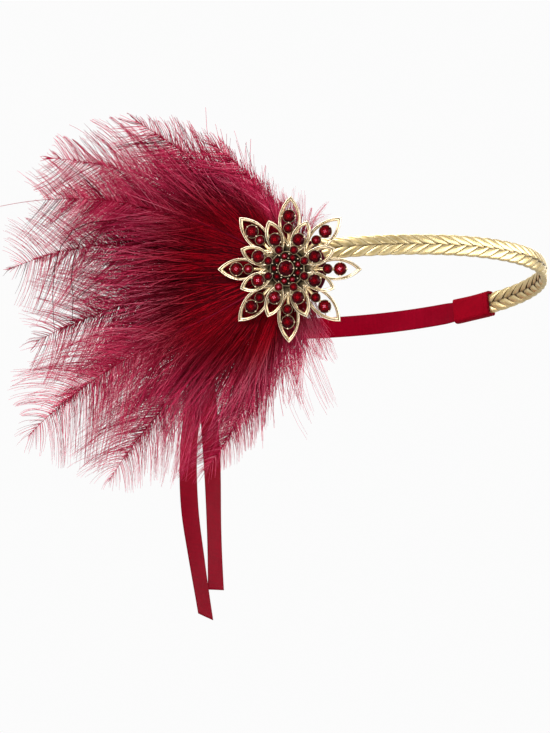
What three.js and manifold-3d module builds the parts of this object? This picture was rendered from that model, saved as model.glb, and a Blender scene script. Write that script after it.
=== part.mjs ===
// A 1920s style feather headband: a plaited gold band, satin ribbon ties, a flower brooch and plumes.
// Millimetres. The origin is the middle of the head loop, +X the forehead, -Y the side with the brooch
// and +Z up. Distances along the loop start at the forehead and grow towards the brooch's side.
import * as THREE from 'three';
import { mergeVertices } from 'three/addons/utils/BufferGeometryUtils.js';
import Module from 'manifold-3d';

const wasm = await Module();
wasm.setup();

// Head loop
const LOOP_LENGTH = 195.6; // forehead to nape, on the band's centre line
const LOOP_WIDTH = 156; // temple to temple
const LOOP_TILT = 4.4; // degrees that the forehead is lifted over the nape
const CLEARANCE = 0.3; // between pieces that touch

// Plaited band
const BRAID_WIDTH = 10.5;
const BRAID_THICKNESS = 3.6;
const BRAID_PITCH = 6.7; // one leaf of the plait along the band
const BRAID_SLANT = 7.4; // how far a leaf runs along the band from edge to middle
const BRAID_ZIGZAG = 1.2; // how far the middle line swings off centre
const BRAID_TUCK = 14; // length hidden inside a sleeve
const BRAID_EASE = 5; // length over which the plait is pressed flat before a sleeve

// Sleeves
const SLEEVE_LENGTH = 22;
const SLEEVE_WALL = 1;
const SLEEVE_CAVITY_HEIGHT = 10.5;
const SLEEVE_CAVITY_DEPTH = 3.6;
const SLEEVE_FLARE = 0.25; // extra at the mouth
const RIGHT_MOUTH = 60.5; // forehead to the sleeve's mouth on the plain side
const LEFT_MOUTH = 203; // forehead to the sleeve's mouth on the brooch's side

// Ribbon
const RIBBON_WIDTH = 10.6;
const RIBBON_THICKNESS = 1;
const RIBBON_TUCK = 5; // length inside a sleeve
const LOOP_STEPS = 12; // flats that a ribbon's bend is made of
const KNOT_DISTANCE = 333.7; // forehead to knot, past brooch and nape
const KNOT_LENGTH = 12; // along the loop
const KNOT_HEIGHT = 13;
const KNOT_DEPTH = 8;
const KNOT_CREASE = 0.22; // how deep its creases are, as a share of its depth
const KNOT_FOLDS = 2; // creases over its height
const KNOT_SLANT = 0.4; // how much they slant
const KNOT_ROUNDNESS = 0.8; // 1 is an ellipsoid, less is squarer
const LONG_TAIL = 146;
const SHORT_TAIL = 130;
const TAIL_SWAY = 10; // sideways swing that the tails' table is a share of
const TAIL_GATHER = 0.4; // share of that depth at the knot
const TAIL_OPENING = 16; // length under the knot over which a tail spreads to its full width
const TAIL_PINCH = 0.62; // its width at the knot to its full width
const TAIL_SWELL = 1.3; // its thickness there to its own
const TAIL_TURN = 41; // degrees that the tails' flat side turns away from the brooch's side
const TAIL_SPACING = 9; // depth between the two tails where they hang free

// Brooch and plumes on their backing
const BROOCH_DISTANCE = 167; // forehead to brooch
const BROOCH_DROP = 9.2; // brooch's middle under the band's middle
const BROOCH_PITCH = 10.5; // degrees that the brooch faces down
const BROOCH_ROLL = -7.5; // degrees that it is turned in its own plane
const BACKING_STANDOFF = 1; // band's centre line to the backing, at the brooch's middle
const BACKING_RADIUS = 17;
const BACKING_THICKNESS = 1.5;
const PLUME_BED = 6.8; // depth for the quills between backing and brooch

// Brooch
const OUTER_TIP = 36.5;
const OUTER_BASE = 11;
const OUTER_PETAL_WIDTH = 11.2;
const OUTER_RISE = 4; // the petal's base over its tip
const INNER_TIP = 26;
const INNER_BASE = 8;
const INNER_PETAL_WIDTH = 9;
const INNER_LIFT = 5; // inner petal's tip over the outer petal's tip
const INNER_RISE = 1.5;
const PETAL_COUNT = 8;
const RIM_WIDTH = 1.5;
const RIM_THICKNESS = 1.4;
const RIM_BEVEL = 0.5; // how far the rim slopes down to its inside
const RIM_POINT = 1.7; // the rim's width at its points to its width beside them
const HUB_RADIUS = 12.2;
const CROWN_RADIUS = 8.8; // upper step of the hub
const FOOT_RADIUS = 5;
const SPINE_WIDTH = 1.6; // bar that joins cups to the hub
const SPINE_THICKNESS = 1;
const CUP_WALL = 0.45;
const CUP_HEIGHT = 2.2;
const CUP_FOOT = 0.85; // the cup's foot to its top
const CLAW_WIDTH = 0.8;
const CLAW_REACH = 0.8; // how far a claw stands over the stone's girdle

// Stones, by radius
const OUTER_STONE = { radius: 3, place: 26.3, claws: 4, firstClaw: 0 };
const OUTER_SMALL_STONE = { radius: 2.25, place: 20.1, claws: 0 };
const INNER_STONE = { radius: 3, place: 15.5, claws: 4, firstClaw: 45 };
const INNER_SMALL_STONE = { radius: 2, place: 9.9, claws: 0 };
const CENTRE_STONE = { radius: 3.7, place: 0, claws: 6, firstClaw: 0 };
const RING_STONE = { radius: 1.45, place: 6.2, count: 9, height: 1.9, girdle: 1.2 };
const TABLE_SHARE = 0.58; // the table's radius to the stone's
const CROWN_SHARE = 0.42; // height over the girdle

// Plumes
const PLUME_REACH = 154; // the longest plume's tip from the brooch's middle
const PLUME_HALF_WIDTH = 27; // the widest vane
const PLUME_ROOT = 9; // where quills start, from the brooch's middle
const QUILL_RADIUS = 0.75;
const VANE_HALF_THICKNESS = 3;
const FLAT_HALF_THICKNESS = 0.75; // under the brooch
const LAYER_SPREAD = 9.4; // depth between layers outside the brooch
const PUFF_LENGTH = 60; // over which the layers part outside the brooch
const BED_LENGTH = 16; // over which the quills part under the brooch
const FLAT_LAYER = 0.75; // the layer, from the head outwards, that would stay level
const LOCK_CURL = 16; // degrees that a lock turns back along its plume

// One row for each plume, from the crest round by the left to the bottom. Angles are degrees in the
// brooch's plane from its right. Reach and width are shares of the longest and the widest plume.
const PLUMES = [
  { name: 'plume_crest', layer: 2, root: 104, middle: 112, tip: 122, reach: 0.47, width: 0.55 },
  { name: 'plume_upper', layer: 1, root: 121, middle: 130, tip: 137, reach: 0.7, width: 0.76 },
  { name: 'plume_high_left', layer: 0, root: 135, middle: 146, tip: 156, reach: 0.9, width: 0.84 },
  { name: 'plume_quill', layer: 2, root: 148, middle: 157, tip: 168, reach: 0.97, width: 0.72 },
  { name: 'plume_left', layer: 1, root: 163, middle: 170, tip: 180, reach: 0.935, width: 0.88 },
  { name: 'plume_low_left', layer: 0, root: 187, middle: 190, tip: 195, reach: 0.88, width: 0.94 },
  { name: 'plume_long', layer: 2, root: 213, middle: 209, tip: 212.5, reach: 1, width: 1 },
  { name: 'plume_lower', layer: 1, root: 230, middle: 227, tip: 229, reach: 0.9, width: 1 },
  { name: 'plume_bottom', layer: 0, root: 247, middle: 250, tip: 246, reach: 0.7, width: 0.8 },
];

// The vane's half width along a plume, as shares of the plume's length and of its half width.
const VANE_SECTIONS = [
  { along: 0, width: 0 },
  { along: 0.14, width: 0.14 },
  { along: 0.3, width: 0.66 },
  { along: 0.48, width: 0.86 },
  { along: 0.68, width: 0.84 },
  { along: 0.86, width: 0.54 },
];

// Locks that stand out of the vane: where they start, how long they are and how they lean, on each side.
const LOCKS = [
  { along: 0.3, length: 1.34, lean: 48, side: 1 },
  { along: 0.37, length: 1.4, lean: 44, side: -1 },
  { along: 0.5, length: 1.44, lean: 40, side: 1 },
  { along: 0.57, length: 1.38, lean: 37, side: -1 },
  { along: 0.68, length: 1.26, lean: 34, side: 1 },
  { along: 0.74, length: 1.12, lean: 30, side: -1 },
];
const LOCK_WIDTH = 0.46; // a lock's greatest width to its length
const LOCK_SECTIONS = [
  { along: 0, width: 0.7, thickness: 0.6 },
  { along: 0.5, width: 1, thickness: 0.85 },
  { along: 1, width: 0.06, thickness: 0.1 },
];

// The tails' middle lines: share of the length and share of the sway, positive towards the forehead.
const LONG_TAIL_LINE = [
  { along: 0, sway: 0 },
  { along: 0.2, sway: -0.3 },
  { along: 0.42, sway: -0.62 },
  { along: 0.62, sway: -0.55 },
  { along: 0.8, sway: -0.2 },
  { along: 1, sway: 0.25 },
];
const SHORT_TAIL_LINE = [
  { along: 0, sway: 0.1 },
  { along: 0.25, sway: 0.36 },
  { along: 0.5, sway: 0.56 },
  { along: 0.75, sway: 0.66 },
  { along: 1, sway: 0.76 },
];

// Width and thickness of a ribbon on its way into the knot, as shares of its width and thickness.
const RIBBON_SECTIONS = [
  { along: 0, width: 0.93, thickness: 1 },
  { along: 0.035, width: 0.93, thickness: 1 },
  { along: 0.08, width: 1, thickness: 1 },
  { along: 0.86, width: 1, thickness: 1 },
  { along: 0.95, width: 0.86, thickness: 1.3 },
  { along: 1, width: 0.66, thickness: 2 },
];

const radians = THREE.MathUtils.degToRad;
const lerp = THREE.MathUtils.lerp;
const smooth = (value, start, end) => THREE.MathUtils.smoothstep(value, start, end);

// Materials
const goldBraid = new THREE.MeshStandardMaterial({ color: 0xd9b968, roughness: 0.35, metalness: 0.55 });
const endCloth = new THREE.MeshStandardMaterial({ color: 0xa00a1e, roughness: 0.8, metalness: 0 });
const satin = new THREE.MeshStandardMaterial({ color: 0x9c0a1c, roughness: 0.45, metalness: 0 });
const felt = new THREE.MeshStandardMaterial({ color: 0x4a0a16, roughness: 0.95, metalness: 0 });
const gilt = new THREE.MeshStandardMaterial({ color: 0xe0c291, roughness: 0.25, metalness: 1 });
const garnet = new THREE.MeshStandardMaterial({ color: 0x6e0010, roughness: 0.1, metalness: 0 });
const plumage = new THREE.MeshStandardMaterial({ color: 0x7c1430, roughness: 0.9, metalness: 0 });
for (const material of [goldBraid, endCloth, satin, felt, gilt, garnet, plumage]) {
  material.flatShading = true;
}

// A closed body from rings of equally many points. Faces are turned outwards by the body's volume.
function loft(rings, closed = false) {
  const count = rings[0].length;
  const positions = rings.flat().flatMap((point) => point.toArray());
  const faces = [];
  const spans = closed ? rings.length : rings.length - 1;
  for (let i = 0; i < spans; i++) {
    for (let j = 0; j < count; j++) {
      const a = i * count + j;
      const b = i * count + ((j + 1) % count);
      const c = ((i + 1) % rings.length) * count + j;
      const d = ((i + 1) % rings.length) * count + ((j + 1) % count);
      faces.push(a, b, d, a, d, c);
    }
  }
  if (!closed) {
    const last = (rings.length - 1) * count;
    for (let j = 1; j < count - 1; j++) {
      faces.push(0, j + 1, j);
      faces.push(last, last + j, last + j + 1);
    }
  }
  return solidGeometry(positions, faces);
}

function solidGeometry(positions, faces) {
  let volume = 0;
  const corner = (index) => new THREE.Vector3().fromArray(positions, index * 3);
  for (let i = 0; i < faces.length; i += 3) {
    const a = corner(faces[i]);
    volume += a.dot(corner(faces[i + 1]).cross(corner(faces[i + 2])));
  }
  const outward = volume > 0 ? faces : faces.toReversed();
  const geometry = new THREE.BufferGeometry();
  geometry.setAttribute('position', new THREE.Float32BufferAttribute(positions, 3));
  geometry.setIndex(outward);
  return geometry;
}

// Shared corners are merged, and the faces that this makes empty are left out.
function welded(geometry) {
  const bare = geometry.clone();
  bare.deleteAttribute('normal');
  bare.deleteAttribute('uv');
  const merged = mergeVertices(bare, 1e-4);
  const faces = [];
  for (let i = 0; i < merged.index.count; i += 3) {
    const [a, b, c] = merged.index.array.slice(i, i + 3);
    if (a !== b && b !== c && c !== a) faces.push(a, b, c);
  }
  merged.setIndex(faces);
  return merged;
}

function toSolid(geometry) {
  const merged = welded(geometry);
  return new wasm.Manifold(
    new wasm.Mesh({
      numProp: 3,
      vertProperties: new Float32Array(merged.attributes.position.array),
      triVerts: new Uint32Array(merged.index.array),
    }),
  );
}

function fuse(geometries) {
  let whole = toSolid(geometries[0]);
  for (const geometry of geometries.slice(1)) {
    whole = whole.add(toSolid(geometry));
  }
  const mesh = whole.getMesh();
  const geometry = new THREE.BufferGeometry();
  geometry.setAttribute('position', new THREE.Float32BufferAttribute(mesh.vertProperties, 3));
  geometry.setIndex(Array.from(mesh.triVerts));
  return geometry;
}

function named(name, geometry, material) {
  geometry.computeVertexNormals();
  const mesh = new THREE.Mesh(geometry, material);
  mesh.name = name;
  return mesh;
}

// Reads a table column at a share of the length.
function readTable(rows, column, along) {
  const next = Math.max(1, rows.findIndex((row) => row.along >= along));
  const from = rows[next - 1];
  const to = rows[next];
  const share = THREE.MathUtils.clamp((along - from.along) / (to.along - from.along), 0, 1);
  return lerp(from[column], to[column], share);
}

// The head loop, an ellipse in a tilted plane
const forward = new THREE.Vector3(Math.cos(radians(LOOP_TILT)), 0, Math.sin(radians(LOOP_TILT)));
const sideways = new THREE.Vector3(0, -1, 0);
const upward = new THREE.Vector3(-Math.sin(radians(LOOP_TILT)), 0, Math.cos(radians(LOOP_TILT)));

class HeadLoop extends THREE.Curve {
  getPoint(t, target = new THREE.Vector3()) {
    const angle = t * 2 * Math.PI;
    target.set(0, 0, 0);
    target.addScaledVector(forward, (LOOP_LENGTH / 2) * Math.cos(angle));
    return target.addScaledVector(sideways, (LOOP_WIDTH / 2) * Math.sin(angle));
  }
}
const loop = new HeadLoop();
loop.arcLengthDivisions = 720;
const loopPerimeter = loop.getLength();

// The place on the loop at a distance: its point, its run and its outward direction.
function stationAt(distance) {
  const share = THREE.MathUtils.euclideanModulo(distance / loopPerimeter, 1);
  const t = loop.getUtoTmapping(share);
  const run = loop.getTangent(t);
  const outward = new THREE.Vector3().crossVectors(upward, run);
  return { point: loop.getPoint(t), run, outward };
}

function onLoop(distance, out, up) {
  const { point, outward } = stationAt(distance);
  return point.addScaledVector(outward, out).addScaledVector(upward, up);
}

// The plait: rings of eight points bent to a V, with leaves that start at a groove in each half.
const RELIEF = [
  { phase: 0, thickness: 0.66, width: 0.92, swing: 1 },
  { phase: 0.5, thickness: 1, width: 1, swing: -1 },
];
const RING = [
  { out: 0, up: 1 },
  { out: 1, up: 0.52 },
  { out: 0.8, up: 0 },
  { out: 1, up: -0.52 },
  { out: 0, up: -1 },
  { out: -1, up: -0.52 },
  { out: -0.8, up: 0 },
  { out: -1, up: 0.52 },
];

function braidGeometry() {
  const start = -RIGHT_MOUTH - BRAID_TUCK;
  const end = LEFT_MOUTH + BRAID_TUCK;
  const leaves = Math.round((end - start) / BRAID_PITCH);
  const pitch = (end - start) / leaves;
  const tuckedWidth = SLEEVE_CAVITY_HEIGHT / 2 - CLEARANCE;
  const tuckedThickness = SLEEVE_CAVITY_DEPTH / 2 - CLEARANCE;
  const rings = [];
  for (let leaf = 0; leaf < leaves; leaf++) {
    for (const row of RELIEF) {
      rings.push({ distance: start + (leaf + row.phase) * pitch, row: RELIEF.indexOf(row) });
    }
  }
  rings.push({ distance: end, row: 0 });
  return loft(
    rings.map(({ distance, row }) => {
      const toEnd = Math.min(distance - start, end - distance);
      const bend = BRAID_SLANT * Math.min(1, toEnd / BRAID_TUCK);
      return RING.map(({ out, up }) => {
        const { thickness, width } = RELIEF[up < 0 ? 1 - row : row];
        const at = distance - bend * (1 - Math.abs(up));
        const free = Math.min(
          smooth(at, -RIGHT_MOUTH + CLEARANCE, -RIGHT_MOUTH + BRAID_EASE),
          1 - smooth(at, LEFT_MOUTH - BRAID_EASE, LEFT_MOUTH - CLEARANCE),
        );
        const swing = up === 0 ? BRAID_ZIGZAG * RELIEF[row].swing : 0;
        const halfWidth = lerp(tuckedWidth, (BRAID_WIDTH / 2) * width, free);
        const halfThickness = lerp(tuckedThickness, (BRAID_THICKNESS / 2) * thickness, free);
        return onLoop(at, out * halfThickness, up * halfWidth + swing * free);
      });
    }),
  );
}

// A flat tube with rounded corners round the loop. Its corners are eased at the ribbon's side.
function roundedSection(distance, halfDepth, halfHeight, corner) {
  const points = [];
  for (const [side, level, first] of [[1, 1, 0], [-1, 1, 90], [-1, -1, 180], [1, -1, 270]]) {
    for (const turn of [0, 45, 90]) {
      const angle = radians(first + turn);
      const out = side * (halfDepth - corner) + corner * Math.cos(angle);
      const up = level * (halfHeight - corner) + corner * Math.sin(angle);
      points.push(onLoop(distance, out, up));
    }
  }
  return points;
}

// The sleeve's wall along its length, as a share of its wall, and how much of its flare it has.
const SLEEVE_SECTIONS = [
  { along: 0, wall: 1, flare: 1 },
  { along: 0.25, wall: 1, flare: 0 },
  { along: 0.5, wall: 1, flare: 0 },
  { along: 0.8, wall: 1, flare: 0 },
  { along: 1, wall: 0.65, flare: 0 },
];

function sleeveGeometry(mouth, direction) {
  const depth = SLEEVE_CAVITY_DEPTH / 2;
  const height = SLEEVE_CAVITY_HEIGHT / 2;
  const outside = [];
  const inside = [];
  for (const { along, wall: share, flare } of SLEEVE_SECTIONS) {
    const at = mouth + direction * along * SLEEVE_LENGTH;
    const wall = SLEEVE_WALL * share + flare * SLEEVE_FLARE;
    outside.push(roundedSection(at, depth + wall, height + wall, depth));
    inside.push(roundedSection(at, depth, height, depth / 2));
  }
  return loft([...outside, ...inside.toReversed()], true);
}

// A strip of four-cornered sections. Each row gives a middle, a width direction and a face direction.
function stripGeometry(rows) {
  return loft(
    rows.map(({ middle, across, face, width, thickness }) =>
      [[1, 1], [1, -1], [-1, -1], [-1, 1]].map(([side, front]) =>
        middle
          .clone()
          .addScaledVector(across, (side * width) / 2)
          .addScaledVector(face, (front * thickness) / 2),
      ),
    ),
  );
}

function loopRibbonGeometry(from, to) {
  const shares = RIBBON_SECTIONS.map((row) => row.along);
  for (let i = 1; i < LOOP_STEPS; i++) {
    shares.push(lerp(RIBBON_SECTIONS[2].along, RIBBON_SECTIONS[3].along, i / LOOP_STEPS));
  }
  shares.sort((a, b) => a - b);
  const rows = shares.map((along) => {
    const { point, outward } = stationAt(lerp(from, to, along));
    return {
      middle: point,
      across: upward,
      face: outward,
      width: RIBBON_WIDTH * readTable(RIBBON_SECTIONS, 'width', along),
      thickness: RIBBON_THICKNESS * readTable(RIBBON_SECTIONS, 'thickness', along),
    };
  });
  return stripGeometry(rows);
}

// The knot: a rounded block with two creases round it.
function knotGeometry() {
  const { point, run, outward } = stationAt(KNOT_DISTANCE);
  const ball = welded(new THREE.SphereGeometry(1, 14, 9));
  const place = ball.attributes.position;
  const spot = new THREE.Vector3();
  const square = (value) => Math.sign(value) * Math.abs(value) ** KNOT_ROUNDNESS;
  for (let i = 0; i < place.count; i++) {
    spot.fromBufferAttribute(place, i);
    const fold = 0.5 + 0.5 * Math.cos(KNOT_FOLDS * Math.PI * (spot.y + KNOT_SLANT * spot.x));
    const crease = 1 - KNOT_CREASE * fold * (1 - Math.abs(spot.y));
    const moved = point
      .clone()
      .addScaledVector(run, square(spot.x) * (KNOT_LENGTH / 2) * crease)
      .addScaledVector(upward, square(spot.y) * (KNOT_HEIGHT / 2))
      .addScaledVector(outward, square(spot.z) * (KNOT_DEPTH / 2) * crease);
    place.setXYZ(i, moved.x, moved.y, moved.z);
  }
  return solidGeometry(Array.from(place.array), Array.from(ball.index.array));
}

function tailGeometry(length, line, depth) {
  const { point } = stationAt(KNOT_DISTANCE);
  const top = point.clone().addScaledVector(upward, -KNOT_HEIGHT / 2 - CLEARANCE);
  const across = new THREE.Vector3(Math.cos(radians(TAIL_TURN)), Math.sin(radians(TAIL_TURN)), 0);
  const face = new THREE.Vector3(Math.sin(radians(TAIL_TURN)), -Math.cos(radians(TAIL_TURN)), 0);
  const steps = 12;
  const rows = [];
  for (let i = 0; i <= steps; i++) {
    const along = i / steps;
    const opened = smooth(length * along, 0, TAIL_OPENING);
    const middle = top.clone();
    middle.x += TAIL_SWAY * smoothTable(line, along);
    middle.y += depth * lerp(TAIL_GATHER, 1, opened);
    middle.z -= length * along;
    rows.push({
      middle,
      across,
      face,
      width: RIBBON_WIDTH * lerp(TAIL_PINCH, 1, opened),
      thickness: RIBBON_THICKNESS * lerp(TAIL_SWELL, 1, opened),
    });
  }
  return stripGeometry(rows);
}

function smoothTable(line, along) {
  const curve = new THREE.SplineCurve(line.map((row) => new THREE.Vector2(row.along, row.sway)));
  let low = 0;
  let high = 1;
  for (let i = 0; i < 24; i++) {
    const mid = (low + high) / 2;
    if (curve.getPoint(mid).x < along) low = mid;
    else high = mid;
  }
  return curve.getPoint(low).y;
}

// The brooch's own frame: x to the right, y up and z away from the head
const petalTipLevel = BACKING_THICKNESS + CLEARANCE + PLUME_BED;

function petalLevel(tipLevel, tip, base, rise, radius) {
  return tipLevel + (rise * (tip - radius)) / (tip - base);
}

// The outline of a pointed oval, tip first, with a point at each end.
function pointedOval(length, width, steps) {
  const radius = (length ** 2 / 4 + width ** 2 / 4) / width;
  const bulge = (x) => Math.sqrt(radius ** 2 - x ** 2) - (radius - width / 2);
  const points = [];
  for (let i = 0; i < 2 * steps; i++) {
    const x = (length / 2) * Math.cos((i / steps) * Math.PI);
    const y = i % steps === 0 ? 0 : Math.sign(steps - i) * bulge(x);
    points.push(new THREE.Vector2(x, y));
  }
  return points;
}

function petalGeometry(tip, base, width, tipLevel, rise, angle) {
  const middle = (tip + base) / 2;
  const outer = pointedOval(tip - base, width, 4);
  const inner = pointedOval(tip - base - 2 * RIM_WIDTH * RIM_POINT, width - 2 * RIM_WIDTH, 4);
  const place = (spot, height) => {
    const radius = middle + spot.x;
    const level = petalLevel(tipLevel, tip, base, rise, radius) + height;
    return new THREE.Vector3(radius, spot.y, level);
  };
  const rings = outer.map((spot, i) => [
    place(spot, 0),
    place(spot, RIM_THICKNESS),
    place(inner[i], RIM_THICKNESS - RIM_BEVEL),
    place(inner[i], 0),
  ]);
  return loft(rings, true).applyMatrix4(new THREE.Matrix4().makeRotationZ(angle));
}

function turned(profile, sides) {
  const lathe = new THREE.LatheGeometry(profile.map(([r, h]) => new THREE.Vector2(r, h)), sides);
  return welded(lathe.applyMatrix4(new THREE.Matrix4().makeRotationX(Math.PI / 2)));
}

function placed(geometry, radius, angle, level) {
  const move = new THREE.Matrix4().makeTranslation(radius, 0, level);
  return geometry.applyMatrix4(move).applyMatrix4(new THREE.Matrix4().makeRotationZ(angle));
}

// A cup that widens to the stone's flat back.
function cupGeometry(radius, sides) {
  const outer = radius + CUP_WALL;
  return turned([[0, 0], [outer * CUP_FOOT, 0], [outer, CUP_HEIGHT], [0, CUP_HEIGHT]], sides);
}

// A claw that starts inside the cup's wall and stands up beside the stone's girdle.
function clawGeometry(radius, angle) {
  const inside = radius + CLEARANCE;
  const outside = inside + CLAW_WIDTH;
  const rings = [CUP_HEIGHT - CLAW_REACH, CUP_HEIGHT + CLEARANCE + CLAW_REACH].map((level) => [
    new THREE.Vector3(inside, 0, level),
    new THREE.Vector3(outside, CLAW_WIDTH / 2, level),
    new THREE.Vector3(outside, -CLAW_WIDTH / 2, level),
  ]);
  return loft(rings).applyMatrix4(new THREE.Matrix4().makeRotationZ(angle));
}

function stoneGeometry(radius) {
  const profile = [
    [0, 0],
    [radius, 0],
    [TABLE_SHARE * radius, CROWN_SHARE * radius],
    [0, CROWN_SHARE * radius],
  ];
  return turned(profile, 8);
}

const outerLevel = (radius) => petalLevel(petalTipLevel, OUTER_TIP, OUTER_BASE, OUTER_RISE, radius);
const innerTipLevel = petalTipLevel + INNER_LIFT;
const innerLevel = (radius) => petalLevel(innerTipLevel, INNER_TIP, INNER_BASE, INNER_RISE, radius);
const crownLevel = innerLevel(INNER_BASE) + RIM_THICKNESS / 2;

// Every stone of its own: where its cup stands, and on how many claws it is held.
const stones = [{ name: 'stone_centre', ...CENTRE_STONE, angle: 0, level: crownLevel }];
for (let i = 0; i < PETAL_COUNT; i++) {
  const outerAngle = (i * 2 * Math.PI) / PETAL_COUNT;
  const innerAngle = outerAngle + Math.PI / PETAL_COUNT;
  for (const [name, stone, angle, level] of [
    ['stone_outer', OUTER_STONE, outerAngle, outerLevel],
    ['stone_outer_small', OUTER_SMALL_STONE, outerAngle, outerLevel],
    ['stone_inner', INNER_STONE, innerAngle, innerLevel],
    ['stone_inner_small', INNER_SMALL_STONE, innerAngle, innerLevel],
  ]) {
    stones.push({ name: `${name}_${i + 1}`, ...stone, angle, level: level(stone.place) });
  }
}

function settingGeometry() {
  const pieces = [
    turned(
      [
        [0, BACKING_THICKNESS + CLEARANCE],
        [FOOT_RADIUS, BACKING_THICKNESS + CLEARANCE],
        [FOOT_RADIUS, outerLevel(OUTER_BASE) - RIM_THICKNESS],
        [HUB_RADIUS, outerLevel(OUTER_BASE)],
        [HUB_RADIUS, outerLevel(OUTER_BASE) + RIM_THICKNESS / 2],
        [CROWN_RADIUS, innerLevel(INNER_BASE)],
        [CROWN_RADIUS, crownLevel],
        [0, crownLevel],
      ],
      8,
    ),
  ];
  for (let i = 0; i < PETAL_COUNT; i++) {
    const angle = (i * 2 * Math.PI) / PETAL_COUNT;
    const between = angle + Math.PI / PETAL_COUNT;
    pieces.push(petalGeometry(OUTER_TIP, OUTER_BASE, OUTER_PETAL_WIDTH, petalTipLevel, OUTER_RISE, angle));
    pieces.push(petalGeometry(INNER_TIP, INNER_BASE, INNER_PETAL_WIDTH, innerTipLevel, INNER_RISE, between));
    pieces.push(spineGeometry(OUTER_BASE, OUTER_STONE.place - OUTER_STONE.radius, outerLevel, angle));
  }
  for (const { radius, place, angle, level, claws, firstClaw } of stones) {
    pieces.push(placed(cupGeometry(radius, claws ? 2 * claws : 6), place, angle, level));
    for (let i = 0; i < claws; i++) {
      const turn = radians(firstClaw) + (i * 2 * Math.PI) / claws;
      pieces.push(placed(clawGeometry(radius, turn), place, angle, level));
    }
  }
  for (let i = 0; i < RING_STONE.count; i++) {
    const angle = ((i + 0.5) * 2 * Math.PI) / RING_STONE.count;
    const bead = turned(
      [
        [0, -RIM_THICKNESS / 3],
        [RING_STONE.radius, RING_STONE.girdle],
        [RING_STONE.radius * TABLE_SHARE, RING_STONE.height],
        [0, RING_STONE.height],
      ],
      6,
    );
    pieces.push(placed(bead, RING_STONE.place, angle, crownLevel));
  }
  return fuse(pieces);
}

// A bar under the stones that follows its petal's slope.
function spineGeometry(from, to, levelAt, angle) {
  const section = (radius) =>
    [[1, 0], [1, 1], [-1, 1], [-1, 0]].map(
      ([side, top]) =>
        new THREE.Vector3(radius, (side * SPINE_WIDTH) / 2, levelAt(radius) + 0.1 + top * SPINE_THICKNESS),
    );
  return loft([section(from), section(to)]).applyMatrix4(new THREE.Matrix4().makeRotationZ(angle));
}

// Plumes: every point of a plume lies in its layer's depth, which depends on how far out it is.
const broochEdge = OUTER_TIP + RIM_WIDTH;
const bedStep = (PLUME_BED - CLEARANCE - 2 * QUILL_RADIUS) / 2;

function layerLevel(layer, radius) {
  const bed = BACKING_THICKNESS + CLEARANCE + QUILL_RADIUS;
  const parted = smooth(radius, PLUME_ROOT, PLUME_ROOT + BED_LENGTH);
  const puffed = smooth(radius, broochEdge, broochEdge + PUFF_LENGTH);
  return bed + layer * bedStep * parted + (layer - FLAT_LAYER) * (LAYER_SPREAD - bedStep) * puffed;
}

function vaneThickness(radius) {
  const puffed = smooth(radius, broochEdge, broochEdge + PUFF_LENGTH);
  return lerp(FLAT_HALF_THICKNESS, VANE_HALF_THICKNESS, puffed);
}

function plumeSpine(plume, along) {
  const reach = PLUME_REACH * plume.reach;
  const radius = lerp(PLUME_ROOT, reach, along);
  const angle =
    plume.root * (2 * along - 1) * (along - 1) +
    plume.middle * 4 * along * (1 - along) +
    plume.tip * along * (2 * along - 1);
  return new THREE.Vector2(Math.cos(radians(angle)), Math.sin(radians(angle))).multiplyScalar(radius);
}

function plumeDirection(plume, along) {
  const step = 0.01;
  return plumeSpine(plume, along + step).sub(plumeSpine(plume, along - step)).normalize();
}

// A diamond section across a flat direction, with its point of a plume's plane as middle.
function plumeSection(plume, middle, across, halfWidth, thickness) {
  const left = middle.clone().addScaledVector(across, halfWidth);
  const right = middle.clone().addScaledVector(across, -halfWidth);
  const rise = thickness * vaneThickness(middle.length());
  const level = layerLevel(plume.layer, middle.length());
  return [
    new THREE.Vector3(left.x, left.y, layerLevel(plume.layer, left.length())),
    new THREE.Vector3(middle.x, middle.y, level + rise),
    new THREE.Vector3(right.x, right.y, layerLevel(plume.layer, right.length())),
    new THREE.Vector3(middle.x, middle.y, level - rise),
  ];
}

function plumeGeometry(plume) {
  const width = PLUME_HALF_WIDTH * plume.width;
  const across = (along) => {
    const direction = plumeDirection(plume, along);
    return new THREE.Vector2(-direction.y, direction.x);
  };
  const vane = VANE_SECTIONS.map((row) =>
    plumeSection(plume, plumeSpine(plume, row.along), across(row.along), QUILL_RADIUS + row.width * width, 1),
  );
  vane.push(plumeSection(plume, plumeSpine(plume, 1), across(1), QUILL_RADIUS / 2, 0.1));
  const pieces = [loft(vane)];
  for (const lock of LOCKS) {
    pieces.push(lockGeometry(plume, lock, width));
  }
  return fuse(pieces);
}

// A tapered lock that leaves the quill, leans outwards and curls back along the plume.
function lockGeometry(plume, lock, width) {
  const base = plumeSpine(plume, lock.along);
  const heading = plumeDirection(plume, lock.along);
  const length = width * lock.length;
  const lean = radians(lock.lean * lock.side);
  const curl = radians(LOCK_CURL * lock.side);
  const rings = [];
  let spot = base;
  let reached = 0;
  for (const { along, width: share, thickness } of LOCK_SECTIONS) {
    const direction = heading.clone().rotateAround(new THREE.Vector2(), lean - curl * along);
    spot = spot.clone().addScaledVector(direction, (along - reached) * length);
    reached = along;
    const flat = new THREE.Vector2(-direction.y, direction.x);
    rings.push(plumeSection(plume, spot, flat, (LOCK_WIDTH / 2) * length * share, thickness));
  }
  return loft(rings);
}

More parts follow.
